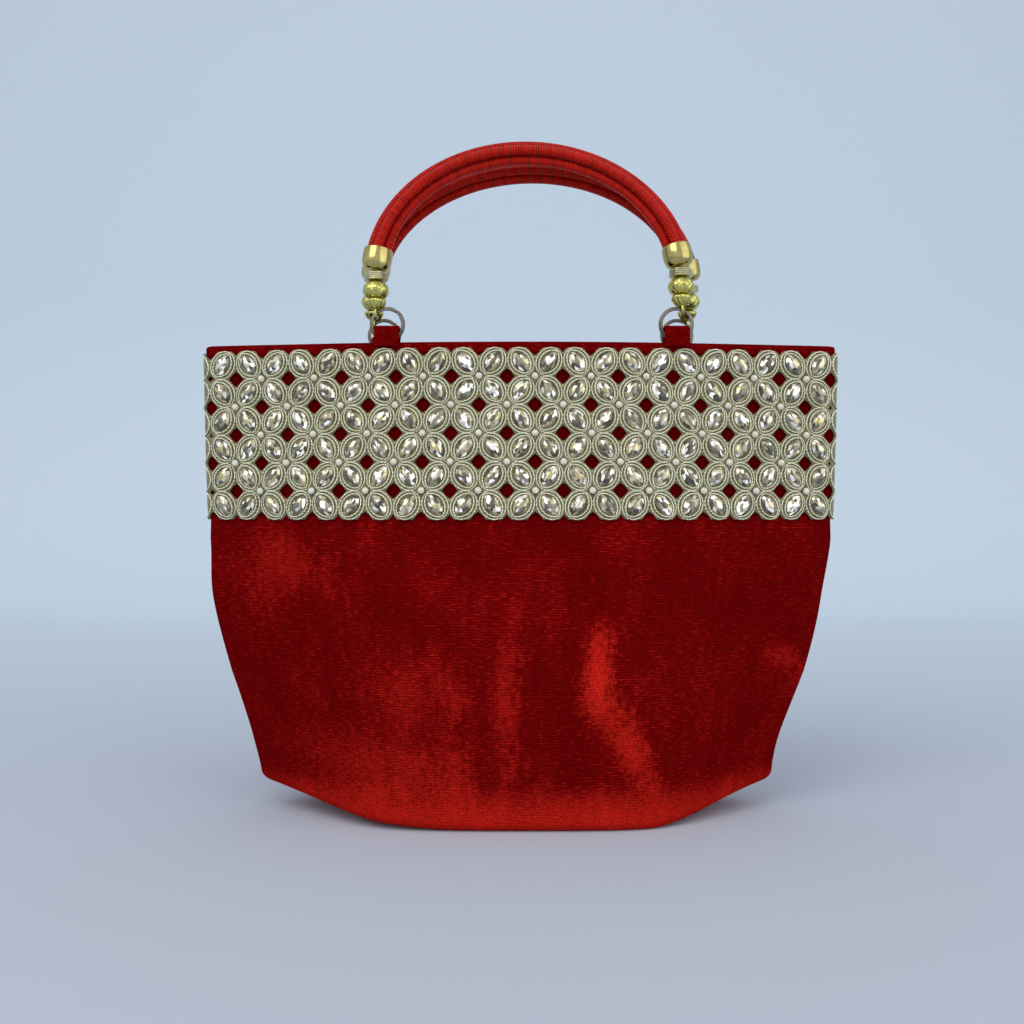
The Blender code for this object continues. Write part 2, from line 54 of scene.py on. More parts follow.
BAG_HEIGHT = 0.203
MOUTH_WIDTH = 0.276
MOUTH_DEPTH = 0.036
BASE_WIDTH = 0.223
BASE_DEPTH = 0.083
BASE_FLAT = 0.112
CORNER_LIFT = 0.012
LIFT_FADE = 0.060
BASE_ROUND = 0.0045
SEAM_RADIUS = 0.004
BOX_SHARPNESS = 6
VELVET_WALL = 0.002
LINING_WALL = 0.0008
LINING_DROP = 0.008
LINING_GAP = 0.0005
BOARD_THICKNESS = 0.002
CLEARANCE = 0.0003
# Each row of the flank: share of the height, share of the flare from the base's width to the
# mouth's, and share of the base's boxed plan that is left
FLANK = np.array([
    (0.00, 0.00, 1.00),
    (0.10, 0.12, 1.00),
    (0.19, 0.31, 1.00),
    (0.28, 0.52, 0.97),
    (0.37, 0.72, 0.88),
    (0.46, 0.87, 0.75),
    (0.63, 0.99, 0.40),
    (0.80, 1.00, 0.14),
    (0.93, 1.00, 0.00),
    (1.00, 1.00, 0.00),
])
FLANK_BLEND = 0.010
# Shares of the plan's length over which the fullness and the dent at a seam fade, the height
# over which both fade out under the lace, and where and how fast the lower body starts to lean
SEAM_SPREAD = 0.05
DENT_SPREAD = 0.003
LACE_FADE = 0.01
SAG_TOP = 0.118
SAG_FADE = 0.026

BAND_BOTTOM = BAG_HEIGHT - 0.075
BAND_ROW = 0.01205
BAND_ROWS = 6
# The lace itself: a tile is centred on each side seam, and the lowest scallops hang a little
# under the band
LACE_COLUMNS = 48
LACE_ROW = BAND_ROW * 1.014
LACE_BOTTOM = BAND_BOTTOM - 0.0012
LACE_TOP = LACE_BOTTOM + LACE_ROW * BAND_ROWS
LACE_STAND = 0.0010
NET_THICKNESS = 0.0005
NET_SWELL = 0.0003
TILE = 0.01175
STONE_TILT = math.radians(55)
STONE_SEED = 11
# Half the diagonal of the net's diamond holes and of the valleys between its scallops, in tiles
HOLE = 0.25
VALLEY = 0.13
WELD = 2e-6

HANDLE_SHIFT = 0.00475
LOOP_WIDTH = 0.0115
LOOP_GAP = 0.0052
LOOP_WALL = 0.0012
LOOP_TOP = 0.0073
LOOP_LAP = 0.0019
RING_RADIUS = 0.0068
RING_WIRE = 0.00075
# A split ring's two turns: the wire's radius, and how far apart they lie along the radius and
# across it
TURN_WIRE = RING_WIRE * 0.72
TURN_STEP = 0.0007
TURN_OFFSET = TURN_WIRE * 1.5
PIN_RADIUS = 0.00055
EYE_RADIUS = 0.0021
CAP_BEAD_HEIGHT = 0.0030
CAP_BEAD_RADIUS = 0.0040
CAP_NECK_RADIUS = 0.0022
PETAL_DEPTH = 0.00042
ROUND_BEAD_HEIGHT = 0.0076
ROUND_BEAD_RADIUS = 0.0055
CARVING_DEPTH = 0.00045
HEX_BEAD_HEIGHT = 0.0034
HEX_BEAD_RADIUS = 0.0051
FERRULE_GAP = 0.0014
FERRULE_HEIGHT = 0.0092
FERRULE_RADIUS = 0.00645
FERRULE_FOOT_RADIUS = 0.0040
FERRULE_FLOOR = 0.0009
CORD_DIAMETER = 0.0042
CORD_SEAT = 0.4
HANDLE_SWAY = {"front": 0.03, "back": -0.012}
HANDLE_LEAN = 6
ARCH_SPRING = 0.0155
# Per handle: the side it is on, the reach of its rings from the middle, how far round from the
# top each ring is gripped, and the rise of its arch
HANDLES = {
    "front": (-1, 0.0623, {"left": 46, "right": 20}, 0.0557),
    "back": (1, 0.0670, {"left": 42, "right": 42}, 0.0525),
}
OUTWARD = {"left": -1, "right": 1}
X_AXIS, Y_AXIS = np.eye(3)[:2]

# The studio: the camera's place, what the lights face, and the sweep's reach to each side and to
# the front, start of its curve, radius and top
CAMERA_PLACE = (-0.0038, -0.455, 0.130)
CAMERA_SENSOR = 36
CAMERA_LENS = 1023 / 1024 * CAMERA_SENSOR
BAG_MIDDLE = (0, 0, 0.12)
SWEEP_REACH = 7.0
SWEEP_BACK = 0.8
SWEEP_RADIUS = 0.5
SWEEP_TOP = 3.0

# A piece's surface: points, arrays of faces that have one number of corners each, and a flat
# map in metres with one row for each of those corners
Shape = namedtuple("Shape", "points faces maps")


# Colours and settings


def linear(hex_code):
    """Linear red, green, blue and alpha of an sRGB hex colour."""
    shares = np.array([int(hex_code[i:i + 2], 16) for i in (1, 3, 5)]) / 255
    curve = np.where(shares <= 0.04045, shares / 12.92, ((shares + 0.055) / 1.055) ** 2.4)
    return (*(float(value) for value in curve), 1.0)


def number_setting(name, description, default, **kind):
    return bpy.props.FloatProperty(name=name, description=description, default=default, min=0.0, **kind)


def size_setting(name, description, default):
    return number_setting(name, description, default, subtype="DISTANCE", unit="LENGTH", precision=5)


def colour_setting(name, description, hex_code):
    return bpy.props.FloatVectorProperty(
        name=name, description=description, default=linear(hex_code), size=4,
        min=0.0, max=1.0, subtype="COLOR",
    )


class BagSizes(bpy.types.PropertyGroup):
    """Sizes of the details that the solids leave plain"""

    rib_pitch: size_setting("Rib pitch", "Spacing of the velvet's woven ribs", 0.0011)
    side_sag: size_setting("Side sag", "How far the lower body leans to its left", 0.0017)
    side_fill: size_setting("Side fill", "How far the lower body stands out at its seams", 0.0011)
    left_lift: size_setting("Left lift", "How much more the base's left side is lifted", 0.0024)
    mouth_flare: size_setting("Mouth flare", "How far the rim stands out at its seams", 0.0016)
    sag: size_setting("Sag", "How far the velvet swells and sinks between its seams", 0.0009)
    seam_dent: size_setting("Seam dent", "Depth of the side seams", 0.0006)
    pleat_depth: size_setting("Pleat depth", "Depth of the satin lining's soft folds", 0.0003)
    stone_length: size_setting("Stone length", "Length of each almond-cut stone", 0.0098)
    stone_width: size_setting("Stone width", "Width of each almond-cut stone", 0.0063)
    rope_thickness: size_setting("Rope thickness", "Thickness of the couched thread", 0.00066)
    pearl_diameter: size_setting("Pearl diameter", "Diameter of the small pearls", 0.0031)
    winding_pitch: size_setting("Winding pitch", "Spacing of the thread wound on the cords", 0.0011)


class BagColours(bpy.types.PropertyGroup):
    """Colours of the bag's fabrics, metals and stones"""

    velvet_deep: colour_setting("Velvet, deep", "The pile seen along its lie", "#6C0406")
    velvet_bright: colour_setting("Velvet, bright", "The pile seen against its lie", "#D6241A")
    satin: colour_setting("Satin", "The lining", "#5A0A12")
    board: colour_setting("Board", "The grey board in the base", "#8A8376")
    steel: colour_setting("Steel", "The snap and the split rings", "#8F877B")
    lace_thread: colour_setting("Lace thread", "The couched thread of the lace", "#FAF6C8")
    lace_net: colour_setting("Lace net", "The ground net between the threads", "#9C966A")
    stone: colour_setting("Stone", "The foil-backed stones", "#B4AC90")
    pearl: colour_setting("Pearl", "The small pearls", "#EAE6D2")
    gold: colour_setting("Carved gold", "The round and cap beads", "#DED67A")
    pale_gold: colour_setting("Pale gold", "The ribbed six-sided beads", "#E2DCB6")
    brass: colour_setting("Brass", "The ferrules", "#C8B974")
    cord: colour_setting("Cord", "The thread wound on the handles", "#A6140C")


class StudioSettings(bpy.types.PropertyGroup):
    """The pale studio round the bag"""

    floor: colour_setting("Floor", "Colour of the floor", "#BEC4D0")
    backdrop: colour_setting("Backdrop", "Colour of the backdrop", "#D1DEE8")
    glow: number_setting("Backdrop glow", "Light that the camera and mirrors see at the back", 0.125)
    key_power: number_setting("Key light", "Power of the large soft light", 5.2, unit="POWER")
    fill_power: number_setting("Fill light", "Power of the weaker light", 3.2, unit="POWER")
    ambient: number_setting("Ambient", "Strength of the even light from all round", 0.76)


def sizes():
    """The settings of the details' sizes."""
    return bpy.context.scene.bag_sizes


def colours():
    """The settings of the bag's colours."""
    return bpy.context.scene.bag_colours


def studio():
    """The settings of the studio."""
    return bpy.context.scene.bag_studio


# Surfaces


def eased(share):
    """A share from 0 to 1 that starts and ends gently: three squares less two cubes."""
    return share * share * (3 - 2 * share)


def unit(vectors):
    """The vectors at length 1."""
    return vectors / np.linalg.norm(vectors, axis=-1, keepdims=True)


def powered(values, power):
    """The values' sizes to a power, with their signs kept."""
    return np.sign(values) * abs(values) ** power


def full_turn(steps):
    """Angles that part a full turn evenly, from 0."""
    return 2 * np.pi * np.arange(steps) / steps


def travelled(points):
    """Distance along a line of points, from 0 at the first."""
    return np.concatenate([[0], np.cumsum(np.linalg.norm(np.diff(points, axis=0), axis=1))])


def side_by_side(*parts):
    """Coordinates that match, or are one for all, joined along a last axis."""
    return np.stack(np.broadcast_arrays(*parts), axis=-1)


def corners(grid):
    """The four corners of each cell of a grid: one row for each cell."""
    stacked = np.stack([grid[:-1, :-1], grid[:-1, 1:], grid[1:, 1:], grid[1:, :-1]], axis=2)
    return stacked.reshape(-1, 4, *grid.shape[2:])


def surface(points, flat, close_rows=False, close_columns=False, cap_ends=False):
    """A surface over a grid of points, rows by columns.

    Cell (i, j) joins points i, j and i+1, j+1. A closed direction joins its last line to its
    first. flat holds the map, with one line more in a closed direction. Where cap_ends is set,
    the first and the last row are each filled by one face.
    """
    rows, columns = points.shape[:2]
    index = np.arange(rows * columns).reshape(rows, columns)
    ends = (index[0], index[-1, ::-1])
    if close_rows:
        index = np.vstack([index, index[:1]])
    if close_columns:
        index = np.hstack([index, index[:, :1]])
    faces = [corners(index)]
    maps = [corners(flat)]
    if cap_ends:
        faces += [end[None, ::-1] for end in ends]
        edge = flat[:rows, :columns]
        maps += [edge[0][None, ::-1], edge[-1][None]]
    return Shape(points.reshape(-1, 3), faces, maps)


def grid_map(across, along):
    """A map whose rows lie at along and whose columns lie at across, both in metres."""
    return np.stack(np.meshgrid(across, along), axis=-1)


def join(shapes):
    """Several shapes as one."""
    points, faces, maps, start = [], [], [], 0
    for shape in shapes:
        points.append(shape.points)
        faces += [face + start for face in shape.faces]
        maps += shape.maps
        start += len(shape.points)
    return Shape(np.concatenate(points), faces, maps)


def welded(shape, within):
    """The shape with points in one place, within so many metres, made one."""
    keys = np.round(shape.points / within).astype(np.int64)
    _, first, index = np.unique(keys, axis=0, return_index=True, return_inverse=True)
    index = index.reshape(-1)
    return Shape(shape.points[first], [index[face] for face in shape.faces], shape.maps)


def enclosed(shape):
    """Volume inside the shape: a sixth of each triangle's triple product, added up."""
    total = 0.0
    for face in shape.faces:
        for k in range(1, face.shape[1] - 1):
            a, b, c = (shape.points[face[:, n]] for n in (0, k, k + 1))
            total += np.einsum("ij,ij->i", a, np.cross(b, c)).sum() / 6
    return total


def outward_facing(shape):
    """The closed shape with its faces pointing outwards."""
    if enclosed(shape) >= 0:
        return shape
    return Shape(
        shape.points, [face[:, ::-1] for face in shape.faces], [flat[:, ::-1] for flat in shape.maps]
    )


def new_object(name, data):
    """A new object round some data, linked into the scene."""
    made = bpy.data.objects.new(name, data)
    bpy.context.scene.collection.objects.link(made)
    return made


def make_piece(name, shape, look, body, slot, stands_for=(), sharp=None):
    """Puts a shape into the scene as a piece with a finish that rides on a body.

    sharp is the angle in degrees over which an edge shows, and 0 leaves every face flat.
    """
    shape = outward_facing(shape)
    mesh = bpy.data.meshes.new(name)
    loops = np.concatenate([face.ravel() for face in shape.faces])
    counts = np.concatenate([np.full(len(face), face.shape[1]) for face in shape.faces])
    mesh.vertices.add(len(shape.points))
    mesh.vertices.foreach_set("co", shape.points.astype(np.float32).ravel())
    mesh.loops.add(len(loops))
    mesh.loops.foreach_set("vertex_index", loops.astype(np.int32))
    mesh.polygons.add(len(counts))
    starts = np.cumsum(counts) - counts
    mesh.polygons.foreach_set("loop_start", starts.astype(np.int32))
    mesh.update(calc_edges=True)
    flat = mesh.uv_layers.new(name="Surface")
    values = np.concatenate([rows.reshape(-1, 2) for rows in shape.maps])
    flat.uv.foreach_set("vector", values.astype(np.float32).ravel())
    mesh.validate()
    if sharp != 0:
        mesh.shade_smooth()
    if sharp:
        mesh.set_sharp_from_angle(angle=math.radians(sharp))
    mesh.materials.append(finish(look))
    piece = new_object(name, mesh)
    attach(piece, body)
    if stands_for:
        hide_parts(*stands_for)
    return piece


def sweep(path, section, up):
    """A closed section carried along an open path, with both ends filled.

    Each point is the path's point, plus the section's first value times the side vector, plus
    its second value times the lift vector. The side vector is the path's direction crossed with
    up, and the lift is the side crossed with the direction.
    """
    heading = unit(np.gradient(path, axis=0))
    side = unit(np.cross(heading, np.broadcast_to(up, path.shape)))
    lift = np.cross(side, heading)
    points = path[:, None] + section[:, :1] * side[:, None] + section[:, 1:] * lift[:, None]
    rim = np.concatenate([section, section[:1]])
    return surface(
        points, grid_map(travelled(rim), travelled(path)), close_columns=True, cap_ends=True,
    )


def circle(radius, sides):
    """Points round a circle: radius times the cosine and the sine of each angle."""
    turns = full_turn(sides)
    return radius * side_by_side(np.cos(turns), np.sin(turns))


def lathe(profile, angles, relief=None):
    """A closed profile of radius and height turned round Z, with a column at each angle.

    relief(angle, height) is added to the radius.
    """
    radius = np.repeat(profile[:, :1], len(angles), axis=1)
    height = np.repeat(profile[:, 1:], len(angles), axis=1)
    if relief:
        radius = radius + relief(angles[None, :], height)
    points = side_by_side(radius * np.cos(angles), radius * np.sin(angles), height)
    along = travelled(np.concatenate([profile, profile[:1]]))
    across = np.linspace(0, 2 * np.pi * profile[:, 0].max(), len(angles) + 1)
    return surface(points, grid_map(across, along), close_rows=True, close_columns=True)


def rounded(points, steps):
    """A smooth curve through points: a cubic between each pair, with slopes from the neighbours."""
    points = np.asarray(points, float)
    slopes = np.gradient(points, axis=0)
    share = np.linspace(0, len(points) - 1, steps)
    start = np.minimum(share.astype(int), len(points) - 2)
    t = (share - start)[:, None]
    a, b = points[start], points[start + 1]
    return (
        a * (1 + 2 * t) * (1 - t) ** 2 + slopes[start] * t * (1 - t) ** 2
        + b * t**2 * (3 - 2 * t) + slopes[start + 1] * t**2 * (t - 1)
    )


def placed(shape, origin, axes):
    """The shape with its x, y and z laid along the columns of axes, from origin."""
    return shape._replace(points=origin + shape.points @ np.asarray(axes).T)


# The pouch's surface


def body_at(heights):
    """Half width, half depth and boxed share of the bag at each height.

    Each is the straight line between the flank's rows, averaged over a short stretch of height.
    """
    spread = np.linspace(-FLANK_BLEND, FLANK_BLEND, 9)
    shares = (np.asarray(heights)[:, None] + spread) / BAG_HEIGHT
    flare = np.interp(shares, FLANK[:, 0], FLANK[:, 1]).mean(axis=1)
    boxed = np.interp(shares, FLANK[:, 0], FLANK[:, 2]).mean(axis=1)
    half_width = (BASE_WIDTH + (MOUTH_WIDTH - BASE_WIDTH) * flare) / 2
    half_depth = (MOUTH_DEPTH + (BASE_DEPTH - MOUTH_DEPTH) * boxed) / 2
    return half_width, half_depth, boxed


def plan(heights, shares, inward=0.0, inset=0.0):
    """x, y and the outward heading of the bag's plan, heights by shares of its length.

    Each side is a parabola, blended with a straight-sided box where the bag is boxed, and the
    pair is grown outwards by the seam's radius, less inward. The shares run from the left seam
    at 0 past the front at 0.25 and the right seam at 0.5 to the back at 0.75.
    """
    heights = np.atleast_1d(heights)
    inward = np.broadcast_to(inward, heights.shape)[:, None]
    inset = np.broadcast_to(inset, heights.shape)
    half_width, half_depth, boxed = body_at(heights)
    core_width = (half_width - inset - SEAM_RADIUS)[:, None]
    core_depth = (half_depth - inset - SEAM_RADIUS)[:, None]
    boxed = boxed[:, None]
    x = core_width * np.sin(np.linspace(-np.pi / 2, np.pi / 2, 241))
    lens = 1 - (x / core_width) ** 2
    run = core_width - BASE_FLAT / 2
    ramp = (core_width - abs(x)) / run
    spread = 1 + ramp**BOX_SHARPNESS
    y = core_depth * ((1 - boxed) * lens + boxed * ramp / spread ** (1 / BOX_SHARPNESS))
    box_slope = -np.sign(x) / run * spread ** (-1 / BOX_SHARPNESS - 1)
    slope = core_depth * ((1 - boxed) * -2 * x / core_width**2 + boxed * box_slope)
    heading = np.arctan2(1, -slope)
    arc = np.linspace(0, 1, 12)[:-1]
    left = np.pi + (heading[:, :1] - np.pi) * arc
    right = (heading[:, -1:] * arc)[:, ::-1]
    heading = np.hstack([left, heading, right])
    x = np.hstack([np.repeat(x[:, :1], len(arc), 1), x, np.repeat(x[:, -1:], len(arc), 1)])
    y = np.hstack([np.repeat(y[:, :1], len(arc), 1), y, np.repeat(y[:, -1:], len(arc), 1)])
    x = x + (SEAM_RADIUS - inward) * np.cos(heading)
    y = y + (SEAM_RADIUS - inward) * np.sin(heading)
    run = np.hypot(np.diff(x, axis=1), np.diff(y, axis=1))
    length = np.hstack([np.zeros((len(x), 1)), np.cumsum(run, axis=1)])
    shares = np.asarray(shares) % 1.0
    front = shares <= 0.5
    where = np.where(front, 2 * shares, 2 - 2 * shares)
    found = np.empty((3, len(x), len(shares)))
    for kind, values in enumerate((x, y, heading)):
        found[kind] = [np.interp(where * reach[-1], reach, row) for reach, row in zip(length, values)]
    side = np.where(front, -1, 1)
    return found[0], side * found[1], np.cos(found[2]), side * np.sin(found[2])


def from_seam(shares):
    """How far each share of the plan's length is from the nearer side seam."""
    return abs((shares + 0.25) % 0.5 - 0.25)


def fullness(shares, heights):
    """How far the bag stands out at its side seams, fading towards the middle of each panel.

    It fades as e to the power of less the square of the distance over SEAM_SPREAD, is one size
    under the lace, and grows from 0 at the lace's foot to another size at the rim.
    """
    low = np.clip((BAND_BOTTOM - heights) / LACE_FADE, 0, 1)
    high = np.clip((heights - BAND_BOTTOM) / (BAG_HEIGHT - BAND_BOTTOM), 0, 1)
    fade = np.exp(-(from_seam(shares) / SEAM_SPREAD) ** 2)
    return fade * (low * sizes().side_fill + high * sizes().mouth_flare)


def corner_lift(x, heights):
    """How far the base's soft corners rise off the ground, fading out up the sides."""
    start = BASE_FLAT / 2
    share = np.clip((abs(x) - start) / (BASE_WIDTH / 2 - start), 0, 1)
    share = (eased(share) + share) / 2
    left = sizes().left_lift * np.exp(-((x / start + 1.15) / 0.45) ** 2)
    return (CORNER_LIFT * share + left) * np.clip(1 - heights / LIFT_FADE, 0, 1)


def skin_rows(side_gap, floor_gap, top, rows, turns=7):
    """Height, gap to the wall, gap to the floor and inset of each row, from the floor up.

    The first rows go round the base's edge, a quarter circle of radius BASE_ROUND.
    """
    turn = np.linspace(0, np.pi / 2, turns)
    rise = BASE_ROUND * (1 - np.cos(turn))
    inset = BASE_ROUND * (1 - np.sin(turn))
    edge = np.stack([rise, side_gap * np.sin(turn), floor_gap * np.cos(turn), inset])
    height = np.linspace(BASE_ROUND, top, rows)[1:]
    flat = np.zeros_like(height)
    return np.hstack([edge, np.stack([height, flat + side_gap, flat, flat])])


def rim_rows(top, wall, gap, steps=7):
    """Rows over a rim: half a circle from the outer skin to the inner one."""
    turn = np.linspace(0, np.pi, steps + 2)[1:-1]
    height = top + wall / 2 * np.sin(turn)
    return np.stack([height, gap + wall / 2 * (1 - np.cos(turn)), 0 * turn, 0 * turn])


def pouch(outer, rim, inner, shares, swell=None, side_sag=0.0):
    """An open bag: the outer rows, the rim's, and the inner rows from the top down.

    swell(shares, heights) pushes the outer skin along its heading, and side_sag moves the lower
    body to its left.
    """
    rows = np.hstack([outer, rim, inner[:, ::-1]])
    height, inward, floor, inset = rows
    x, y, heading_x, heading_y = plan(height, shares, inward, inset)
    push = fullness(shares[None, :], height[:, None])
    if swell:
        push[:outer.shape[1]] += swell(shares[None, :], height[:outer.shape[1], None])
    x = x + push * heading_x
    y = y + push * heading_y
    z = (height + floor)[:, None] + corner_lift(x, height[:, None])
    x = x - side_sag * eased(np.clip((SAG_TOP - height) / SAG_FADE, 0, 1))[:, None]
    points = side_by_side(x, y, z)
    across = np.concatenate([shares, [1]]) * 2 * (MOUTH_WIDTH + MOUTH_DEPTH / 3)
    along = travelled(points[:, len(shares) // 4])
    shape = surface(points, grid_map(across, along), close_columns=True)
    return join_floor(shape, rows.shape[1], len(shares))


def join_floor(shape, rows, count):
    """Adds the two floors: strips that join the front of a row to its back."""
    half = count // 2
    i = np.arange(1, half - 1)
    strip = np.stack([i, i + 1, count - i - 1, count - i], axis=1)
    tips = np.array([[0, 1, count - 1], [half, half + 1, half - 1]])
    last = (rows - 1) * count
    faces = shape.faces + [strip[:, ::-1], tips[:, ::-1], strip + last, tips + last]
    flat = shape.points[:, :2]
    maps = shape.maps + [flat[face] for face in faces[-4:]]
    return Shape(shape.points, faces, maps)


# The lace's surface


def band_table():
    """Points of the net's face and their headings, rows by columns over the whole band."""
    shares = np.arange(LACE_COLUMNS * 32 + 1) / (LACE_COLUMNS * 32)
    heights = np.linspace(LACE_BOTTOM - LACE_ROW, LACE_BOTTOM + LACE_ROW * (BAND_ROWS + 1), 33)
    x, y, heading_x, heading_y = plan(heights, shares, -LACE_STAND)
    push = fullness(shares[None, :], heights[:, None])
    return side_by_side(x + push * heading_x, y + push * heading_y, heading_x, heading_y)


def on_band(table, u, v, rise):
    """Places on the band: u columns along, v rows up, and rise off the net's face.

    The first column starts half a tile before the left seam. The table is read between its four
    nearest entries, each weighted by how near it is, and the rise goes along the heading.
    """
    column = ((u - 0.5) % LACE_COLUMNS) * 32
    row = (v + 1) * (len(table) - 1) / (BAND_ROWS + 2)
    i, j = np.floor(row).astype(int), np.floor(column).astype(int)
    i = np.clip(i, 0, len(table) - 2)
    a, b = (row - i)[..., None], (column - j)[..., None]
    found = (
        table[i, j] * (1 - a) * (1 - b) + table[i, j + 1] * (1 - a) * b
        + table[i + 1, j] * a * (1 - b) + table[i + 1, j + 1] * a * b
    )
    flat = found[..., :2] + rise[..., None] * unit(found[..., 2:])
    return np.concatenate([flat, (LACE_BOTTOM + v * LACE_ROW)[..., None]], axis=-1)


def tiles():
    """Column, row and lean of every tile. The lean is 1 where the stone leans to the right."""
    column, row = np.meshgrid(np.arange(LACE_COLUMNS), np.arange(BAND_ROWS))
    column, row = column.ravel(), row.ravel()
    return column, row, np.where((column + row) % 2, -1, 1)


def flat_tiles(column):
    """True for the columns that aren't folded over a side seam."""
    return column % (LACE_COLUMNS // 2) > 0


def tiled(table, shape, column, row, lean):
    """The shape, in tile widths from a tile's middle and metres of rise, copied to each tile.

    A copy that leans to the left is mirrored, and its faces are turned round to match.
    """
    x = column[:, None] + 0.5 + lean[:, None] * shape.points[:, 0]
    y = row[:, None] + 0.5 + shape.points[:, 1]
    rise = np.broadcast_to(shape.points[:, 2], x.shape)
    points = on_band(table, x, y, rise).reshape(-1, 3)
    start = np.arange(len(column)) * len(shape.points)
    faces, maps = [], []
    for turn in (1, -1):
        first = start[lean == turn]
        for face, flat in zip(shape.faces, shape.maps):
            faces.append((first[:, None, None] + face[:, ::turn]).reshape(-1, face.shape[1]))
            maps.append(np.tile(flat[:, ::turn], (len(first), 1, 1)))
    return outward_facing(Shape(points, faces, maps))


def almond(length, width, steps, point=1.35):
    """An almond outline in tile widths, leaning to the right.

    Along its length it is the cosine of the turn, and across it the sine to a power over 1,
    which draws the two ends to soft points.
    """
    turns = full_turn(steps)
    along = length / 2 / TILE * np.cos(turns)
    across = width / 2 / TILE * powered(np.sin(turns), point)
    x = along * math.cos(STONE_TILT) - across * math.sin(STONE_TILT)
    y = along * math.sin(STONE_TILT) + across * math.cos(STONE_TILT)
    return side_by_side(x, y)


def rope_ring(length, width, thickness, rise, point, steps=24, sides=4):
    """A thread laid round an almond: a small circle carried round the outline."""
    path = almond(length, width, steps, point)
    heading = unit(np.roll(path, -1, axis=0) - np.roll(path, 1, axis=0))
    normal = side_by_side(heading[:, 1], -heading[:, 0])
    ring = circle(thickness / 2, sides)
    flat = path[:, None] + ring[None, :, :1] * normal[:, None] / TILE
    lift = np.broadcast_to(rise + ring[None, :, 1:], (steps, sides, 1))
    points = np.concatenate([flat, lift], axis=-1)
    along = travelled(np.concatenate([path, path[:1]])) * TILE
    across = np.linspace(0, np.pi * thickness, sides + 1)
    return surface(points, grid_map(across, along), close_rows=True, close_columns=True)


def stone_shape(length, width):
    """A faceted almond: rings of 12 points that shrink towards a flat table.

    Every second ring over the girdle is turned by half a step, so that its facets are kites.
    """
    levels = ((0.90, 0.0001), (1.0, 0.0009), (0.97, 0.0012), (0.70, 0.0022), (0.36, 0.0028))
    rings = []
    for k, (scale, rise) in enumerate(levels):
        first = 1 if k == 3 else 0
        ring = almond(length * scale, width * scale, 24)[first::2]
        rings.append(np.column_stack([ring, np.full(12, rise)]))
    points = np.stack(rings)
    flat = np.concatenate([points[..., :2] * TILE, points[:, :1, :2] * TILE], axis=1)
    return surface(points, flat, close_columns=True, cap_ends=True)


def net_tile(hole, valley, rings=(0.35, 0.7, 1.0), steps=40):
    """One tile of the ground net: rings out to the tile's edge, which is cut back at the holes.

    Along each ray from the middle the edge lies where the ray leaves the square or first comes
    into a hole at a corner. A hole is a rounded diamond: the distances across and up, each to
    the power 1.5, add up to its size to that power.
    """
    turns = full_turn(steps) + np.pi / steps
    x, y = np.cos(turns), np.sin(turns)
    ray = np.linspace(0, 1, 400)[:, None] * 0.5 / np.maximum(abs(x), abs(y))
    open_at = np.zeros(ray.shape, bool)
    open_at[-1] = True
    for size, lean in ((hole, -1), (valley, 1)):
        for side in (-0.5, 0.5):
            away = abs(ray * x - side) ** 1.5 + abs(ray * y - lean * side) ** 1.5
            open_at |= away < size**1.5
    edge = ray[open_at.argmax(axis=0), np.arange(steps)]
    reach = np.array([0.02, *rings])[:, None]
    points = side_by_side(reach * edge * x, reach * edge * y, NET_SWELL * (1 - reach**2))
    flat = np.concatenate([points[..., :2], points[:, :1, :2]], axis=1) * TILE
    shape = surface(points, flat, close_columns=True)
    middle = np.arange(steps)[None]
    return Shape(shape.points, shape.faces + [middle], shape.maps + [flat[0, :steps][None]])


# Handles


def rim_y(x, side):
    """y of the middle of the velvet wall at the mouth's rim."""
    shares = np.linspace(0, 0.5, 400)
    rim_x, rim_front, _, _ = plan(BAG_HEIGHT, shares, VELVET_WALL / 2)
    return -side * np.interp(x, rim_x[0], rim_front[0])


def ring_dip():
    """Height between a ring's lowest point and where its wire leaves the loop's sides."""
    return RING_RADIUS - math.sqrt(RING_RADIUS**2 - (LOOP_WIDTH / 2) ** 2)


def ring_pivot(style, end):
    """Where a ring turns: a point inside its velvet loop, on the line that its pair shares."""
    side, reach, _, _ = HANDLES[style]
    places = {which: HANDLE_SHIFT + OUTWARD[which] * reach for which in OUTWARD}
    y = sum(float(rim_y(x, side)) for x in places.values()) / 2
    return np.array([places[end], y, BAG_HEIGHT + CLEARANCE + RING_WIRE + ring_dip() / 2])


def ring_centre_height():
    """Height of a ring's centre over the line it turns about."""
    return RING_RADIUS - ring_dip() / 2


def grip_point(style, end):
    """Where the handle's eye holds the ring's wire."""
    turn = math.radians(HANDLES[style][2][end])
    reach = OUTWARD[end] * RING_RADIUS * math.sin(turn)
    rise = ring_centre_height() + RING_RADIUS * math.cos(turn)
    return ring_pivot(style, end) + np.array([reach, 0, rise])


def handle_frame(style):
    """Origin, axes as columns, and half span of a handle: x along its hinge line, z up its lean.

    The lean turns y and z about the hinge line by HANDLE_LEAN, towards the other handle.
    """
    left, right = grip_point(style, "left"), grip_point(style, "right")
    span = np.linalg.norm(right - left)
    along = (right - left) / span
    up = np.cross(along, Y_AXIS)
    lean = math.radians(HANDLE_LEAN) * HANDLES[style][0]
    level = Y_AXIS * math.cos(lean) + up * math.sin(lean)
    up = up * math.cos(lean) - Y_AXIS * math.sin(lean)
    return (left + right) / 2, side_by_side(along, level, up), span / 2


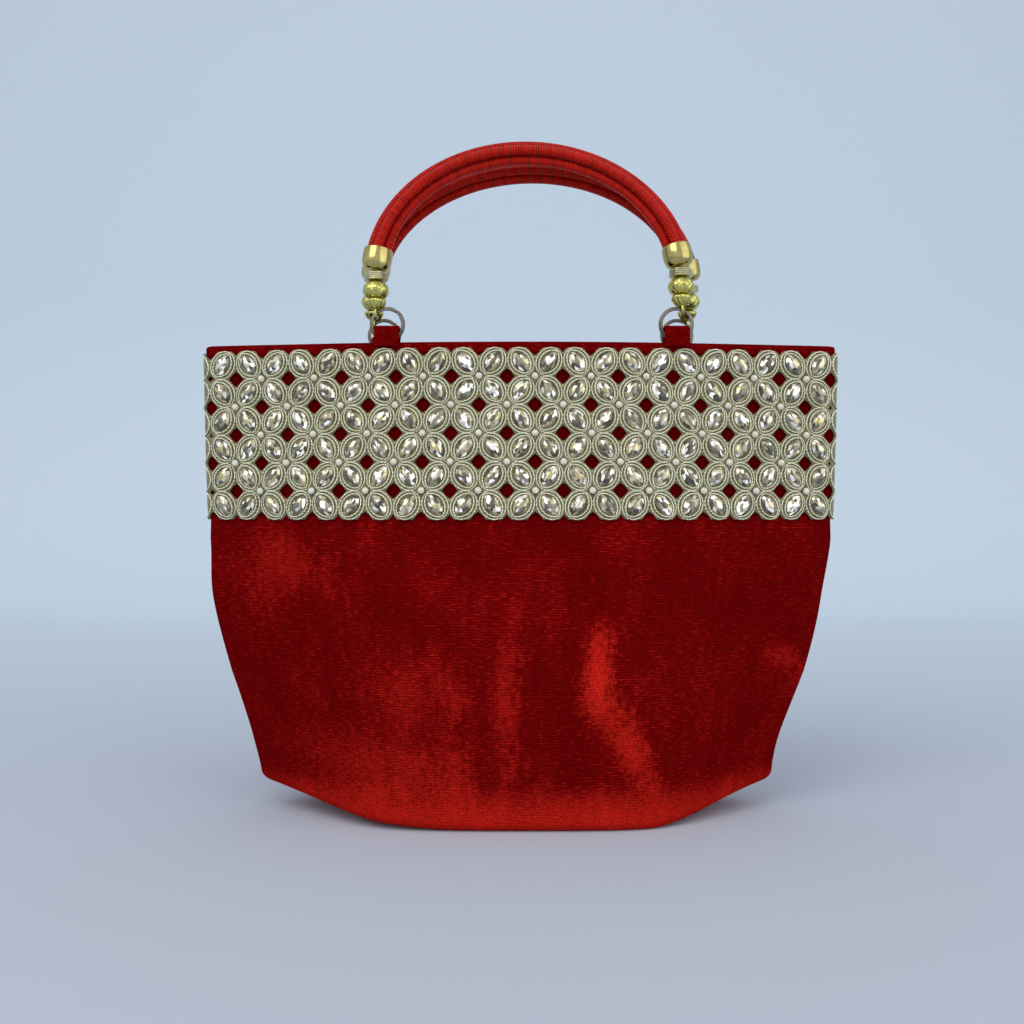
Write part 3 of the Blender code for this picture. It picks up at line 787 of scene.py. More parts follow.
def arch(style, half_span, turns):
    """Centre line of the arch and its outward normals, in the handle's frame.

    x is the half span times the cosine of the turn, less the sway times the rise and the sine,
    and z is the spring plus the rise times the sine.
    """
    rise = HANDLES[style][3]
    sway = HANDLE_SWAY[style]
    x = half_span * np.cos(turns) - sway * rise * np.sin(turns)
    z = ARCH_SPRING + rise * np.sin(turns)
    ahead_x = -half_span * np.sin(turns) - sway * rise * np.cos(turns)
    ahead_z = rise * np.cos(turns)
    long = np.hypot(ahead_x, ahead_z)
    return side_by_side(x, 0, z), side_by_side(ahead_z / long, 0, -ahead_x / long)


def arch_turn(style, height, end):
    """The turn at which the arch's centre line passes a height over the hinge line."""
    turn = math.asin((height - ARCH_SPRING) / HANDLES[style][3])
    return turn if end == "right" else math.pi - turn


def stack_heights():
    """Lower end of each bead and of the ferrule, over the hinge line."""
    cap = EYE_RADIUS + PIN_RADIUS + CLEARANCE
    ball = cap + CAP_BEAD_HEIGHT + CLEARANCE
    hexagon = ball + ROUND_BEAD_HEIGHT + CLEARANCE
    ferrule = hexagon + HEX_BEAD_HEIGHT + FERRULE_GAP
    return cap, ball, hexagon, ferrule


def handle_ends():
    """Style, end, frame origin, frame axes and half span for each of the four handle ends."""
    for style in HANDLES:
        origin, axes, half_span = handle_frame(style)
        for end in OUTWARD:
            yield style, end, origin, axes, half_span


def at_stack(shape, end, origin, axes, half_span, height):
    """The shape moved to a height in the stack at one end of a handle."""
    lift = np.array([OUTWARD[end] * half_span, 0, height])
    return placed(shape._replace(points=shape.points + lift), origin, axes)


# Finishes


def add_node(tree, kind, inputs=None, **choices):
    """Adds a shader node, makes its choices, and sets or links its inputs."""
    node = tree.nodes.new("ShaderNode" + kind)
    for name, value in choices.items():
        setattr(node, name, value)
    for name, value in (inputs or {}).items():
        if isinstance(value, bpy.types.NodeSocket):
            tree.links.new(value, node.inputs[name])
        else:
            node.inputs[name].default_value = value
    return node


def spaced(words):
    """The keys with their underscores made spaces, as the shader names its inputs."""
    return {key.replace("_", " "): value for key, value in words.items()}


def new_finish(name, **plain):
    """A material whose Principled shader has the plain values given, words joined by _."""
    made = bpy.data.materials.new(name)
    made.use_nodes = True
    shader = made.node_tree.nodes["Principled BSDF"]
    for words, value in spaced(plain).items():
        shader.inputs[words].default_value = value
    return made, made.node_tree, shader


def shade(colour, factor):
    """The colour made darker or lighter by a factor."""
    return (*(min(1.0, value * factor) for value in colour[:3]), 1.0)


def shades(colour, *stops):
    """Stops of a ramp through one colour, each given as a place and a factor."""
    return [(place, shade(colour, factor)) for place, factor in stops]


def paint(tree, shader, factor, stops):
    """Colours the shader by a ramp over a factor, its stops given as place and colour."""
    node = add_node(tree, "ValToRGB", {"Fac": factor})
    points = node.color_ramp.elements
    while len(points) < len(stops):
        points.new(0.5)
    for point, (place, colour) in zip(points, stops):
        point.position = place
        point.color = colour
    tree.links.new(node.outputs["Color"], shader.inputs["Base Color"])


def emboss(tree, shader, height, strength, distance, invert=False):
    """Bumps the shader's surface by a height, whose full range is a distance in metres."""
    inputs = {"Strength": strength, "Distance": distance, "Height": height}
    bump = add_node(tree, "Bump", inputs, invert=invert)
    tree.links.new(bump.outputs["Normal"], shader.inputs["Normal"])


def coordinates(tree, source):
    """The surface's own coordinates: Object, or the flat map as UV."""
    return add_node(tree, "TexCoord").outputs[source]


def coordinate(tree, axis):
    """One of the object's three coordinates."""
    return add_node(tree, "SeparateXYZ", {"Vector": coordinates(tree, "Object")}).outputs[axis]


def stretched(tree, source, scale):
    """Coordinates multiplied by a scale for each axis, in patterns per metre."""
    vector = coordinates(tree, source)
    return add_node(tree, "Mapping", {"Vector": vector, "Scale": scale}).outputs["Vector"]


def noise(tree, source, scale, detail, roughness=0.5):
    """Cloudy noise, Fac and Color, with so many patterns per metre along each axis."""
    vector = stretched(tree, source, scale)
    inputs = {"Vector": vector, "Scale": 1.0, "Detail": detail, "Roughness": roughness}
    return add_node(tree, "TexNoise", inputs).outputs


def waves(tree, pitch, direction, **more):
    """Bands over the flat map at a pitch, since scale 1 makes ten waves in pi metres."""
    vector = coordinates(tree, "UV")
    inputs = {"Vector": vector, "Scale": math.pi / 10 / pitch, **spaced(more)}
    return add_node(tree, "TexWave", inputs, bands_direction=direction).outputs["Fac"]


def math_node(tree, operation, *values):
    """The result of a sum on sockets or numbers."""
    return add_node(tree, "Math", dict(enumerate(values)), operation=operation).outputs[0]


def remap(tree, value, start, end, least, most, kind="LINEAR"):
    """A value's range from start to end made one from least to most, and held outside it."""
    inputs = {"Value": value, "From Min": start, "From Max": end, "To Min": least, "To Max": most}
    return add_node(tree, "MapRange", inputs, interpolation_type=kind).outputs["Result"]


# Strokes of painted sheen where the pile is brushed up: strength, middle, half sizes and turn in
# degrees
STROKES = (
    (0.55, (0.0307, 0.0620), (0.0068, 0.0230), 3),
    (0.40, (0.0450, 0.0330), (0.0085, 0.0220), -32),
    (0.24, (-0.0060, 0.0560), (0.0070, 0.0350), 2),
    (0.20, (-0.0420, 0.0540), (0.0300, 0.0200), 20),
    (0.22, (-0.0550, 0.0260), (0.0450, 0.0150), 8),
    (0.18, (-0.1020, 0.1060), (0.0300, 0.0240), -10),
    (0.05, (-0.0200, 0.0960), (0.0260, 0.0140), 0),
    (0.18, (0.1130, 0.0670), (0.0110, 0.0080), 30),
)


def brushed(tree, ragged):
    """How much painted sheen the brushed-up pile gets: each stroke is an oval that fades to its edge.
    """
    total = 0.0
    for strength, (x, z), (across, up), turn in STROKES:
        inputs = {
            "Vector": coordinates(tree, "Object"), "Location": (x, 0, z),
            "Rotation": (0, math.radians(turn), 0), "Scale": (across, 1000, up),
        }
        placed_at = add_node(tree, "Mapping", inputs, vector_type="TEXTURE").outputs["Vector"]
        inputs = {0: ragged, 1: (2.6, 0, 1.6), 2: placed_at}
        moved = add_node(tree, "VectorMath", inputs, operation="MULTIPLY_ADD").outputs["Vector"]
        reach = add_node(tree, "VectorMath", {0: moved}, operation="LENGTH").outputs["Value"]
        total = math_node(tree, "ADD", total, remap(tree, reach, 1.3, 0.1, 0.0, strength, "SMOOTHSTEP"))
    return total


def lit_pile(tree, cloud, specks):
    """Painted sheen on the pile: in the brushed strokes and along the foot, broken into specks."""
    tufts = noise(tree, "UV", (420, 260, 1), 4.0, 0.8)["Color"]
    inputs = {0: cloud, 1: (-1.0, -1.0, -1.0), 2: tufts}
    ragged = add_node(tree, "VectorMath", inputs, operation="MULTIPLY_ADD").outputs["Vector"]
    # Painted sheen along the foot, brightest at the bottom
    foot = remap(tree, coordinate(tree, "Z"), 0.024, 0.004, 0.0, 0.42, "SMOOTHSTEP")
    grain = remap(tree, specks, 0.34, 0.66, 0.3, 1.7)
    return math_node(tree, "MULTIPLY", math_node(tree, "ADD", brushed(tree, ragged), foot), grain)


def lace_shadow_mask(tree):
    """1 behind the lace band, where the velvet gets a painted shadow from the lace, and 0 elsewhere."""
    up = coordinate(tree, "Z")
    over = math_node(tree, "GREATER_THAN", up, BAND_BOTTOM)
    return math_node(tree, "MULTIPLY", over, math_node(tree, "LESS_THAN", up, LACE_TOP - 0.0015))


def velvet_finish():
    """Rayon velvet with a ribbed ground: crushed pile, so patches and dashes catch the light."""
    made, tree, shader = new_finish(
        "Crushed ribbed velvet", Roughness=0.9, Sheen_Weight=0.16, Sheen_Roughness=0.35,
        Sheen_Tint=linear("#FF3020"), Specular_IOR_Level=0.0,
    )
    cloud = noise(tree, "UV", (45, 26, 1), 8.0, 0.72)
    dashes = noise(tree, "UV", (300, 1500, 1), 2.0, 0.6)["Fac"]
    specks = noise(tree, "UV", (1500, 1800, 1), 2.0, 0.7)["Fac"]
    strands = noise(tree, "UV", (260, 34, 1), 5.0, 0.7)["Fac"]
    ribs = waves(
        tree, sizes().rib_pitch, "Y",
        Distortion=3.0, Detail=3.0, Detail_Scale=1.2, Detail_Roughness=0.7,
    )
    # Soft patches, then short bright dashes along the ribs, long strands and the lit pile
    tone = remap(tree, cloud["Fac"], 0.38, 0.72, 0.0, 0.16, "SMOOTHSTEP")
    tone = math_node(tree, "MULTIPLY_ADD", math_node(tree, "MULTIPLY", ribs, dashes), 0.26, tone)
    tone = math_node(tree, "ADD", tone, remap(tree, dashes, 0.50, 0.78, 0.0, 0.30))
    tone = math_node(tree, "MULTIPLY_ADD", strands, 0.20, tone)
    tone = math_node(tree, "ADD", tone, lit_pile(tree, cloud["Color"], specks))
    # Painted shadow of the lace: the velvet behind the band is darkened
    lace_shadow = math_node(tree, "MULTIPLY_ADD", lace_shadow_mask(tree), -0.85, 1.0)
    tone = math_node(tree, "MULTIPLY", tone, lace_shadow)
    stops = shades(colours().velvet_deep, (0.02, 0.55), (0.30, 1.0))
    paint(tree, shader, tone, stops + shades(colours().velvet_bright, (0.62, 0.62), (1.0, 1.0)))
    emboss(tree, shader, math_node(tree, "MULTIPLY_ADD", specks, 0.6, dashes), 0.35, 0.0003)
    return made


def satin_finish():
    """Acetate satin: a fine twill whose floats shine across the folds."""
    made, tree, shader = new_finish(
        "Wine satin", Roughness=0.38, Anisotropic=0.5, Sheen_Weight=0.2, Sheen_Roughness=0.4,
    )
    # The real yarns are 0.1 mm apart, drawn here at 0.5 mm so that they show
    yarns = waves(tree, 0.0005, "DIAGONAL", Distortion=0.4)
    paint(tree, shader, yarns, shades(colours().satin, (0.0, 0.8), (1.0, 1.25)))
    emboss(tree, shader, yarns, 0.15, 0.0001)
    return made


def board_finish():
    """Grey board: pressed paper pulp, flecked and matt."""
    made, tree, shader = new_finish("Grey board", Roughness=0.95)
    flecks = noise(tree, "Object", (900, 900, 900), 4.0)["Fac"]
    paint(tree, shader, flecks, shades(colours().board, (0.3, 0.75), (0.7, 1.15)))
    emboss(tree, shader, flecks, 0.3, 0.0001)
    return made


# Per metal: its material's name, colour, shade of it, roughness, tarnish, patterns of tarnish per
# metre, and depth of the dents in its bump
METALS = {
    "steel": ("Nickelled steel", "steel", 1.0, 0.28, 0.35, 700, 0.0),
    "snap": ("Plated snap", "steel", 1.5, 0.2, 0.15, 400, 0.0),
    "gold": ("Carved gilt", "gold", 1.0, 0.24, 0.45, 900, 0.0001),
    "pale gold": ("Pale ribbed gilt", "pale_gold", 1.0, 0.3, 0.3, 600, 0.0),
    "brass": ("Polished brass", "brass", 1.0, 0.16, 0.3, 260, 0.0),
}


def metal_finish(metal):
    """A metal with a cloudy tarnish that darkens it in patches, and dents of one size in its bump."""
    name, colour, lightness, roughness, tarnish, grain, dents = METALS[metal]
    made, tree, shader = new_finish(name, Metallic=1.0)
    plain = shade(getattr(colours(), colour), lightness)
    clouds = noise(tree, "Object", (grain, grain, grain), 5.0, 0.6)["Fac"]
    paint(tree, shader, clouds, shades(plain, (0.3, 1 - tarnish), (0.62, 1.0), (0.8, 1.12)))
    dull = remap(tree, clouds, 0.3, 0.7, roughness * 1.5, roughness * 0.8)
    tree.links.new(dull, shader.inputs["Roughness"])
    if dents:
        emboss(tree, shader, clouds, 0.5, dents)
    return made


def rope_finish():
    """Couched metallic thread: two plies twisted together, each with a soft metal gleam."""
    made, tree, shader = new_finish(
        "Couched gold thread", Metallic=0.45, Roughness=0.34, Sheen_Weight=0.15,
    )
    # Slanted waves across the thread, one for each turn of a ply: its bump, and painted shade between
    # the turns with a painted highlight on each
    ply_relief_and_shade = waves(tree, sizes().rope_thickness * 1.1, "DIAGONAL", Distortion=0.6)
    painted_glint = noise(tree, "Object", (1100, 1100, 1100), 2.0)["Fac"]
    mixed = math_node(tree, "MULTIPLY_ADD", ply_relief_and_shade, 0.5, painted_glint)
    # Painted shade and highlights: the waves and the speckled noise darken and lighten the thread's
    # colour
    paint(tree, shader, mixed, shades(colours().lace_thread, (0.38, 0.42), (0.68, 0.95), (0.92, 1.4)))
    emboss(tree, shader, ply_relief_and_shade, 0.9, 0.0002)
    return made


def net_finish():
    """Embroidered net: satin stitch over tulle, with dark gaps between the stitches."""
    made, tree, shader = new_finish("Embroidered net", Metallic=0.2, Roughness=0.55, Sheen_Weight=0.1)
    # Stitches about 0.4 mm wide and 0.8 mm long
    inputs = {"Vector": stretched(tree, "UV", (2600, 1300, 1)), "Scale": 1.0, "Randomness": 0.9}
    stitches = add_node(tree, "TexVoronoi", inputs).outputs["Distance"]
    paint(tree, shader, stitches, shades(colours().lace_net, (0.0, 1.9), (0.35, 1.0), (0.8, 0.3)))
    emboss(tree, shader, stitches, 0.8, 0.0002, invert=True)
    return made


def stone_finish():
    """Foil-backed acrylic stones: each facet is painted light or dark at random, a painted reflection
    of the foil at its own angle.
    """
    made, tree, shader = new_finish(
        "Foil-backed stone", Metallic=0.7, Roughness=0.10, Coat_Weight=1.0, Coat_Roughness=0.02,
        Emission_Color=linear("#FFFDF2"),
    )
    facet = add_node(tree, "Attribute", attribute_name="facet").outputs["Fac"]
    # Painted reflections: most facets are dull, some are warm, and a few flash white
    dull = shades(colours().stone, (0.0, 0.12), (0.30, 0.45), (0.55, 1.0))
    warm = [(0.70, linear("#D9C88C")), (0.80, linear("#F2EFE0")), (1.0, linear("#FFFFFF"))]
    paint(tree, shader, facet, dull + warm)
    # The brightest facets glow, a painted highlight
    tree.links.new(remap(tree, facet, 0.84, 0.97, 0.0, 0.45), shader.inputs["Emission Strength"])
    return made


def pearl_finish():
    """Plastic pearl: a milky coat with a faint cloudy lustre."""
    made, tree, shader = new_finish(
        "Small pearl", Roughness=0.22, Coat_Weight=0.6, Coat_Roughness=0.1, Subsurface_Weight=0.1,
        Subsurface_Scale=0.001,
    )
    lustre = noise(tree, "Object", (700, 700, 700), 2.0)["Fac"]
    paint(tree, shader, lustre, shades(colours().pearl, (0.35, 0.85), (0.65, 1.0)))
    return made


def cord_finish():
    """Rayon thread wound round a core: fine turns across the cord, with painted shade between them and
    a painted silky gleam on each.
    """
    made, tree, shader = new_finish(
        "Wound rayon thread", Roughness=0.40, Sheen_Weight=0.05, Sheen_Roughness=0.3,
        Sheen_Tint=linear("#FF6A40"), Specular_IOR_Level=0.22, Specular_Tint=linear("#FFB090"),
    )
    turns = waves(tree, sizes().winding_pitch, "Y", Distortion=1.4, Detail=2.0, Detail_Scale=0.8)
    uneven = noise(tree, "UV", (60, 700, 1), 3.0)["Fac"]
    mixed = math_node(tree, "MULTIPLY_ADD", turns, 0.55, uneven)
    # Painted shade in the grooves between the turns and a painted highlight on each
    paint(tree, shader, mixed, shades(colours().cord, (0.32, 0.30), (0.66, 0.95), (0.95, 1.6)))
    emboss(tree, shader, turns, 0.7, 0.0003)
    return made


def backdrop_finish():
    """Pale cloth that goes from the floor's colour to the backdrop's, with a glow at the back."""
    made, tree, shader = new_finish(
        "Backdrop cloth", Roughness=0.9, Specular_IOR_Level=0.2, Emission_Color=studio().backdrop,
    )
    back = remap(tree, coordinate(tree, "Y"), 0.0, 0.9, 0.0, 1.0)
    # Painted shade of soft folds in the cloth: broad cloudy noise that moves the colour between the
    # floor's and the backdrop's
    folds = noise(tree, "Object", (2.6, 2.6, 1.2), 3.0)["Fac"]
    mixed = math_node(tree, "MULTIPLY_ADD", folds, 0.16, back)
    paint(tree, shader, mixed, ((0.05, studio().floor), (1.05, studio().backdrop)))
    # Only the camera, and metal and glass that mirror the backdrop, see its glow
    path = add_node(tree, "LightPath").outputs
    seen = math_node(tree, "MAXIMUM", path["Is Camera Ray"], path["Is Glossy Ray"])
    seen = math_node(tree, "MAXIMUM", seen, path["Is Transmission Ray"])
    glow = math_node(tree, "MULTIPLY", math_node(tree, "MULTIPLY", back, studio().glow), seen)
    tree.links.new(glow, shader.inputs["Emission Strength"])
    return made


MAKERS = {
    "velvet": velvet_finish, "satin": satin_finish, "board": board_finish, "rope": rope_finish,
    "net": net_finish, "stone": stone_finish, "pearl": pearl_finish, "cord": cord_finish,
}
FINISHES = {}


def finish(name):
    """A finish by its short name, made the first time it is asked for."""
    if name not in FINISHES:
        FINISHES[name] = metal_finish(name) if name in METALS else MAKERS[name]()
    return FINISHES[name]


# Operators, one for each group of pieces


class BagOperator(bpy.types.Operator):
    """Makes one group of the bag's pieces"""

    bl_idname = "handbag.base"
    bl_label = "Piece"
    bl_options = {"REGISTER", "UNDO"}

    def execute(self, context):
        self.make()
        return {"FINISHED"}


class MakeStage(BagOperator):
    """Sets the camera, the soft lights and the pale sweep that the bag stands on"""

    bl_idname = "handbag.stage"
    bl_label = "Stage"

    def make(self):
        camera = bpy.data.cameras.new("Camera")
        camera.sensor_width = CAMERA_SENSOR
        camera.lens = CAMERA_LENS
        holder = new_object("Camera", camera)
        holder.location = CAMERA_PLACE
        holder.rotation_euler = (math.pi / 2, 0, 0)
        bpy.context.scene.camera = holder
        bpy.context.scene.view_settings.view_transform = "Standard"
        self.make_sweep()
        self.make_light("Key light", studio().key_power, 0.9, (-0.55, -0.75, 0.95))
        self.make_light("Fill light", studio().fill_power, 1.1, (0.85, -0.6, 0.5))
        world = bpy.data.worlds.new("Even light")
        world.use_nodes = True
        background = world.node_tree.nodes["Background"]
        background.inputs["Color"].default_value = linear("#EEF2FA")
        background.inputs["Strength"].default_value = studio().ambient
        bpy.context.scene.world = world

    def make_sweep(self):
        """A floor that curves up into a backdrop: a quarter circle between two straight runs."""
        turn = np.linspace(0, np.pi / 2, 24)
        curve = SWEEP_BACK + SWEEP_RADIUS * np.sin(turn)
        y = np.concatenate([[-SWEEP_REACH], curve, curve[-1:]])
        z = np.concatenate([[0.0], SWEEP_RADIUS * (1 - np.cos(turn)), [SWEEP_TOP]])
        points = side_by_side(np.array([-SWEEP_REACH, SWEEP_REACH]), y[:, None], z[:, None])
        mesh = bpy.data.meshes.new("Sweep")
        index = np.arange(len(y) * 2).reshape(-1, 2)
        mesh.from_pydata(points.reshape(-1, 3), [], corners(index).tolist())
        mesh.shade_smooth()
        mesh.materials.append(backdrop_finish())
        new_object("Sweep", mesh)

    def make_light(self, name, power, size, place):
        """A square light that faces the middle of the bag."""
        light = bpy.data.lights.new(name, "AREA")
        light.energy = power
        light.size = size
        holder = new_object(name, light)
        holder.location = place
        aim = np.subtract(BAG_MIDDLE, place)
        climb = math.atan2(aim[2], math.hypot(aim[0], aim[1]))
        heading = math.atan2(aim[1], aim[0])
        holder.rotation_euler = (math.pi / 2 + climb, 0, heading - math.pi / 2)


class MakePouch(BagOperator):
    """Makes the sagging velvet shell with its side seams and rounded rim"""

    bl_idname = "handbag.pouch"
    bl_label = "Velvet pouch"

    def make(self):
        half = np.linspace(0, 0.5, 181)
        half = half - np.sin(4 * np.pi * half) / (4 * np.pi) * 0.6
        shares = np.concatenate([half, 1 - half[-2:0:-1]])
        top = BAG_HEIGHT - VELVET_WALL / 2

        def swell(share, height):
            """Slow waves round the bag that fade under the lace, and a dent at each seam."""
            room = np.clip((BAND_BOTTOM - 0.004 - height) / 0.03, 0, 1) * np.clip(height / 0.02, 0, 1)
            ripples = (
                np.sin(2 * np.pi * (3 * share + 7 * height) + 0.6)
                + 0.7 * np.sin(2 * np.pi * (5 * share - 11 * height) + 2.1)
                + 0.5 * np.sin(2 * np.pi * (11 * share + 4 * height) + 4.0)
            )
            under = np.clip((BAND_BOTTOM - height) / LACE_FADE, 0, 1)
            dent = np.exp(-(from_seam(share) / DENT_SPREAD) ** 2) * under
            return sizes().sag * 0.5 * room * ripples - sizes().seam_dent * dent

        shape = pouch(
            skin_rows(0.0, 0.0, top, 110),
            rim_rows(top, VELVET_WALL, 0.0),
            skin_rows(VELVET_WALL, VELVET_WALL, top, 24),
            shares, swell, sizes().side_sag,
        )
        make_piece("velvet_pouch", shape, "velvet", "bag", "red_velvet", ["velvet_shell"])


class MakeLining(BagOperator):
    """Makes the satin lining with its soft pleats"""

    bl_idname = "handbag.lining"
    bl_label = "Satin lining"

    def make(self):
        shares = np.arange(240) / 240
        side = VELVET_WALL + LINING_GAP
        floor = VELVET_WALL + BOARD_THICKNESS + 2 * CLEARANCE
        top = BAG_HEIGHT - LINING_DROP - LINING_WALL / 2

        outer = skin_rows(side, floor, top, 24)
        inner = skin_rows(side + LINING_WALL, floor + LINING_WALL, top, 40)
        rim = rim_rows(top, LINING_WALL, side, 3)
        shape = pouch(outer, rim, inner, shares)
        # Pleats push the inner skin away from the wall, and die out at the hem and the floor
        first = (outer.shape[1] + rim.shape[1]) * len(shares)
        z = shape.points[first:, 2]
        share = np.tile(shares, len(shape.points[first:]) // len(shares))
        phase = 2 * np.pi * 34 * share + 3 * np.sin(2 * np.pi * 5 * share)
        depth = sizes().pleat_depth * (0.5 - 0.5 * np.cos(phase))
        depth = depth * np.clip((top - z) / 0.03, 0, 1) * np.clip((z - 0.02) / 0.03, 0, 1)
        flat = shape.points[first:, :2]
        reach = np.maximum(np.linalg.norm(flat, axis=1), 0.01)
        flat *= (1 - depth / reach)[:, None]
        make_piece("satin_lining_piece", shape, "satin", "bag", "wine_satin", ["satin_lining"])


class DressFittings(BagOperator):
    """Gives the base board and the magnetic snap their finishes"""

    bl_idname = "handbag.fittings"
    bl_label = "Board and snap"

    def make(self):
        for node, name in (("base_board", "board"), ("snap_socket", "snap"), ("snap_stud", "snap")):
            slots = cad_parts[node].data.materials
            slots.clear()
            slots.append(finish(name))


class MakeLace(BagOperator):
    """Makes the lace band: net, couched thread, stones and pearls"""

    bl_idname = "handbag.lace"
    bl_label = "Lace band"

    def make(self):
        table = band_table()
        column, row, lean = tiles()
        self.make_net(table, column, row, lean)
        self.make_ropes(table, column, row, lean)
        self.make_stones(table, column, row, lean)
        self.make_pearls(table)

    def make_net(self, table, column, row, lean):
        """The ground net, cut back at the holes and at the scalloped edges."""
        middle = (row > 0) & (row < BAND_ROWS - 1)
        inner = tiled(table, net_tile(HOLE, 0.0), column[middle], row[middle], lean[middle])
        edges = tiled(table, net_tile(HOLE, VALLEY), column[~middle], row[~middle], lean[~middle])
        shape = welded(join([inner, edges]), WELD)
        piece = make_piece("lace_net", shape, "net", "bag", "lace", ["lace_band"])
        wall = piece.modifiers.new("Wall", "SOLIDIFY")
        wall.thickness = NET_THICKNESS
        wall.offset = -1

    def make_ropes(self, table, column, row, lean):
        """Two threads round each stone: one against it and one at the tile's edge."""
        thick = sizes().rope_thickness
        long, wide = sizes().stone_length, sizes().stone_width
        # Per thread: length, width, thickness, rise off the net, and how pointed it is
        rings = {
            "inner_thread": rope_ring(long + thick * 1.5, wide + thick * 2.0, thick, 0.0010, 1.3),
            "outer_thread": rope_ring(long + thick * 3.6, wide + thick * 6.0, thick, 0.0004, 1.0),
        }
        for name, ring in rings.items():
            kept = flat_tiles(column) | (name == "outer_thread")
            threads = tiled(table, ring, column[kept], row[kept], lean[kept])
            make_piece(name, threads, "rope", "bag", "lace")

    def make_stones(self, table, column, row, lean):
        """The stones, each facet painted with its own share of reflected light from the foil, chosen at
        random.

        The tiles folded over the two side seams carry none.
        """
        kept = flat_tiles(column)
        cut = stone_shape(sizes().stone_length, sizes().stone_width)
        stones = tiled(table, cut, column[kept], row[kept], lean[kept])
        piece = make_piece("stones", stones, "stone", "bag", "lace", sharp=0)
        # Painted reflected light: a random tone for each facet
        painted_facet_light = np.random.default_rng(STONE_SEED).random(len(piece.data.polygons))
        facet = piece.data.attributes.new("facet", "FLOAT", "FACE")
        facet.data.foreach_set("value", painted_facet_light.astype(np.float32))

    def make_pearls(self, table):
        """A pearl at every crossing of the lattice that isn't a hole or at a seam."""
        column, row = np.meshgrid(np.arange(LACE_COLUMNS), np.arange(1, BAND_ROWS))
        chosen = ((column + row) % 2 == 0) & flat_tiles(column) & flat_tiles(column - 1)
        column, row = column[chosen], row[chosen]
        radius = sizes().pearl_diameter / 2
        turn = np.linspace(0.15, np.pi - 0.15, 6)
        around = circle(1.0, 9)
        flat = radius * np.sin(turn)[:, None, None] * around / TILE
        rise = np.broadcast_to(0.0009 + radius * np.cos(turn)[:, None, None], (6, 9, 1))
        spread = grid_map(np.linspace(0, 2 * np.pi * radius, 10), np.linspace(0, np.pi * radius, 6))
        ball = surface(np.concatenate([flat, rise], axis=-1), spread, close_columns=True, cap_ends=True)
        shape = tiled(table, ball, column - 0.5, row - 0.5, np.ones(len(column)))
        make_piece("pearls", shape, "pearl", "bag", "lace")


class MakeLoops(BagOperator):
    """Makes the four velvet straps folded over the rings"""

    bl_idname = "handbag.loops"
    bl_label = "Velvet loops"

    def make(self):
        inner = LOOP_GAP / 2 + LOOP_WALL / 2
        bend = BAG_HEIGHT + LOOP_TOP - LOOP_WALL / 2 - inner
        turn = np.linspace(0, np.pi, 17)
        legs = np.linspace(BAG_HEIGHT - LOOP_LAP, bend, 8)[:-1]
        leg_y = np.full(len(legs), inner)
        y = np.concatenate([leg_y, inner * np.cos(turn), -leg_y])
        z = np.concatenate([legs, bend + inner * np.sin(turn), legs[::-1]])
        path = side_by_side(0, y, z)
        corner = full_turn(28)
        # A little narrower than the CAD's loop, so that a tilted ring's wire clears its edges
        half_width = LOOP_WIDTH / 2 - 0.0004
        across = half_width * powered(np.cos(corner), 0.22)
        section = side_by_side(across, LOOP_WALL / 2 * powered(np.sin(corner), 0.5))
        # The strap's sides run along x, so the lift vector of the sweep is its thickness
        strap = sweep(path, section, np.cross(X_AXIS, np.gradient(path, axis=0)))
        for style, end in product(HANDLES, OUTWARD):
            standing = strap._replace(points=strap.points + ring_pivot(style, end) * [1, 1, 0])
            make_piece(
                f"strap_{style}_{end}", standing, "velvet", "bag", "red_velvet",
                [f"loop_{style}_{end}"], sharp=50,
            )


class MakeRings(BagOperator):
    """Makes the four split rings, each of two turns of wire"""

    bl_idname = "handbag.rings"
    bl_label = "Split rings"

    def make(self):
        turns = np.linspace(0, 4 * np.pi, 145) + 0.9
        share = (turns - turns[0]) / (4 * np.pi)
        # The wire steps from its first turn to its second over a sixth of a turn
        step = eased(np.clip((share - 0.5) / 0.08 + 0.5, 0, 1)) - 0.5
        radius = RING_RADIUS + TURN_STEP * step
        rise = ring_centre_height() + radius * np.sin(turns)
        path = side_by_side(radius * np.cos(turns), TURN_OFFSET * step, rise)
        shape = sweep(path, circle(TURN_WIRE, 10), Y_AXIS)
        for style, end in product(HANDLES, OUTWARD):
            ring = shape._replace(points=shape.points + ring_pivot(style, end))
            make_piece(
                f"split_ring_{style}_{end}", ring, "steel", f"{style}_{end}_ring", "ring_steel",
                [f"ring_{style}_{end}"], sharp=60,
            )


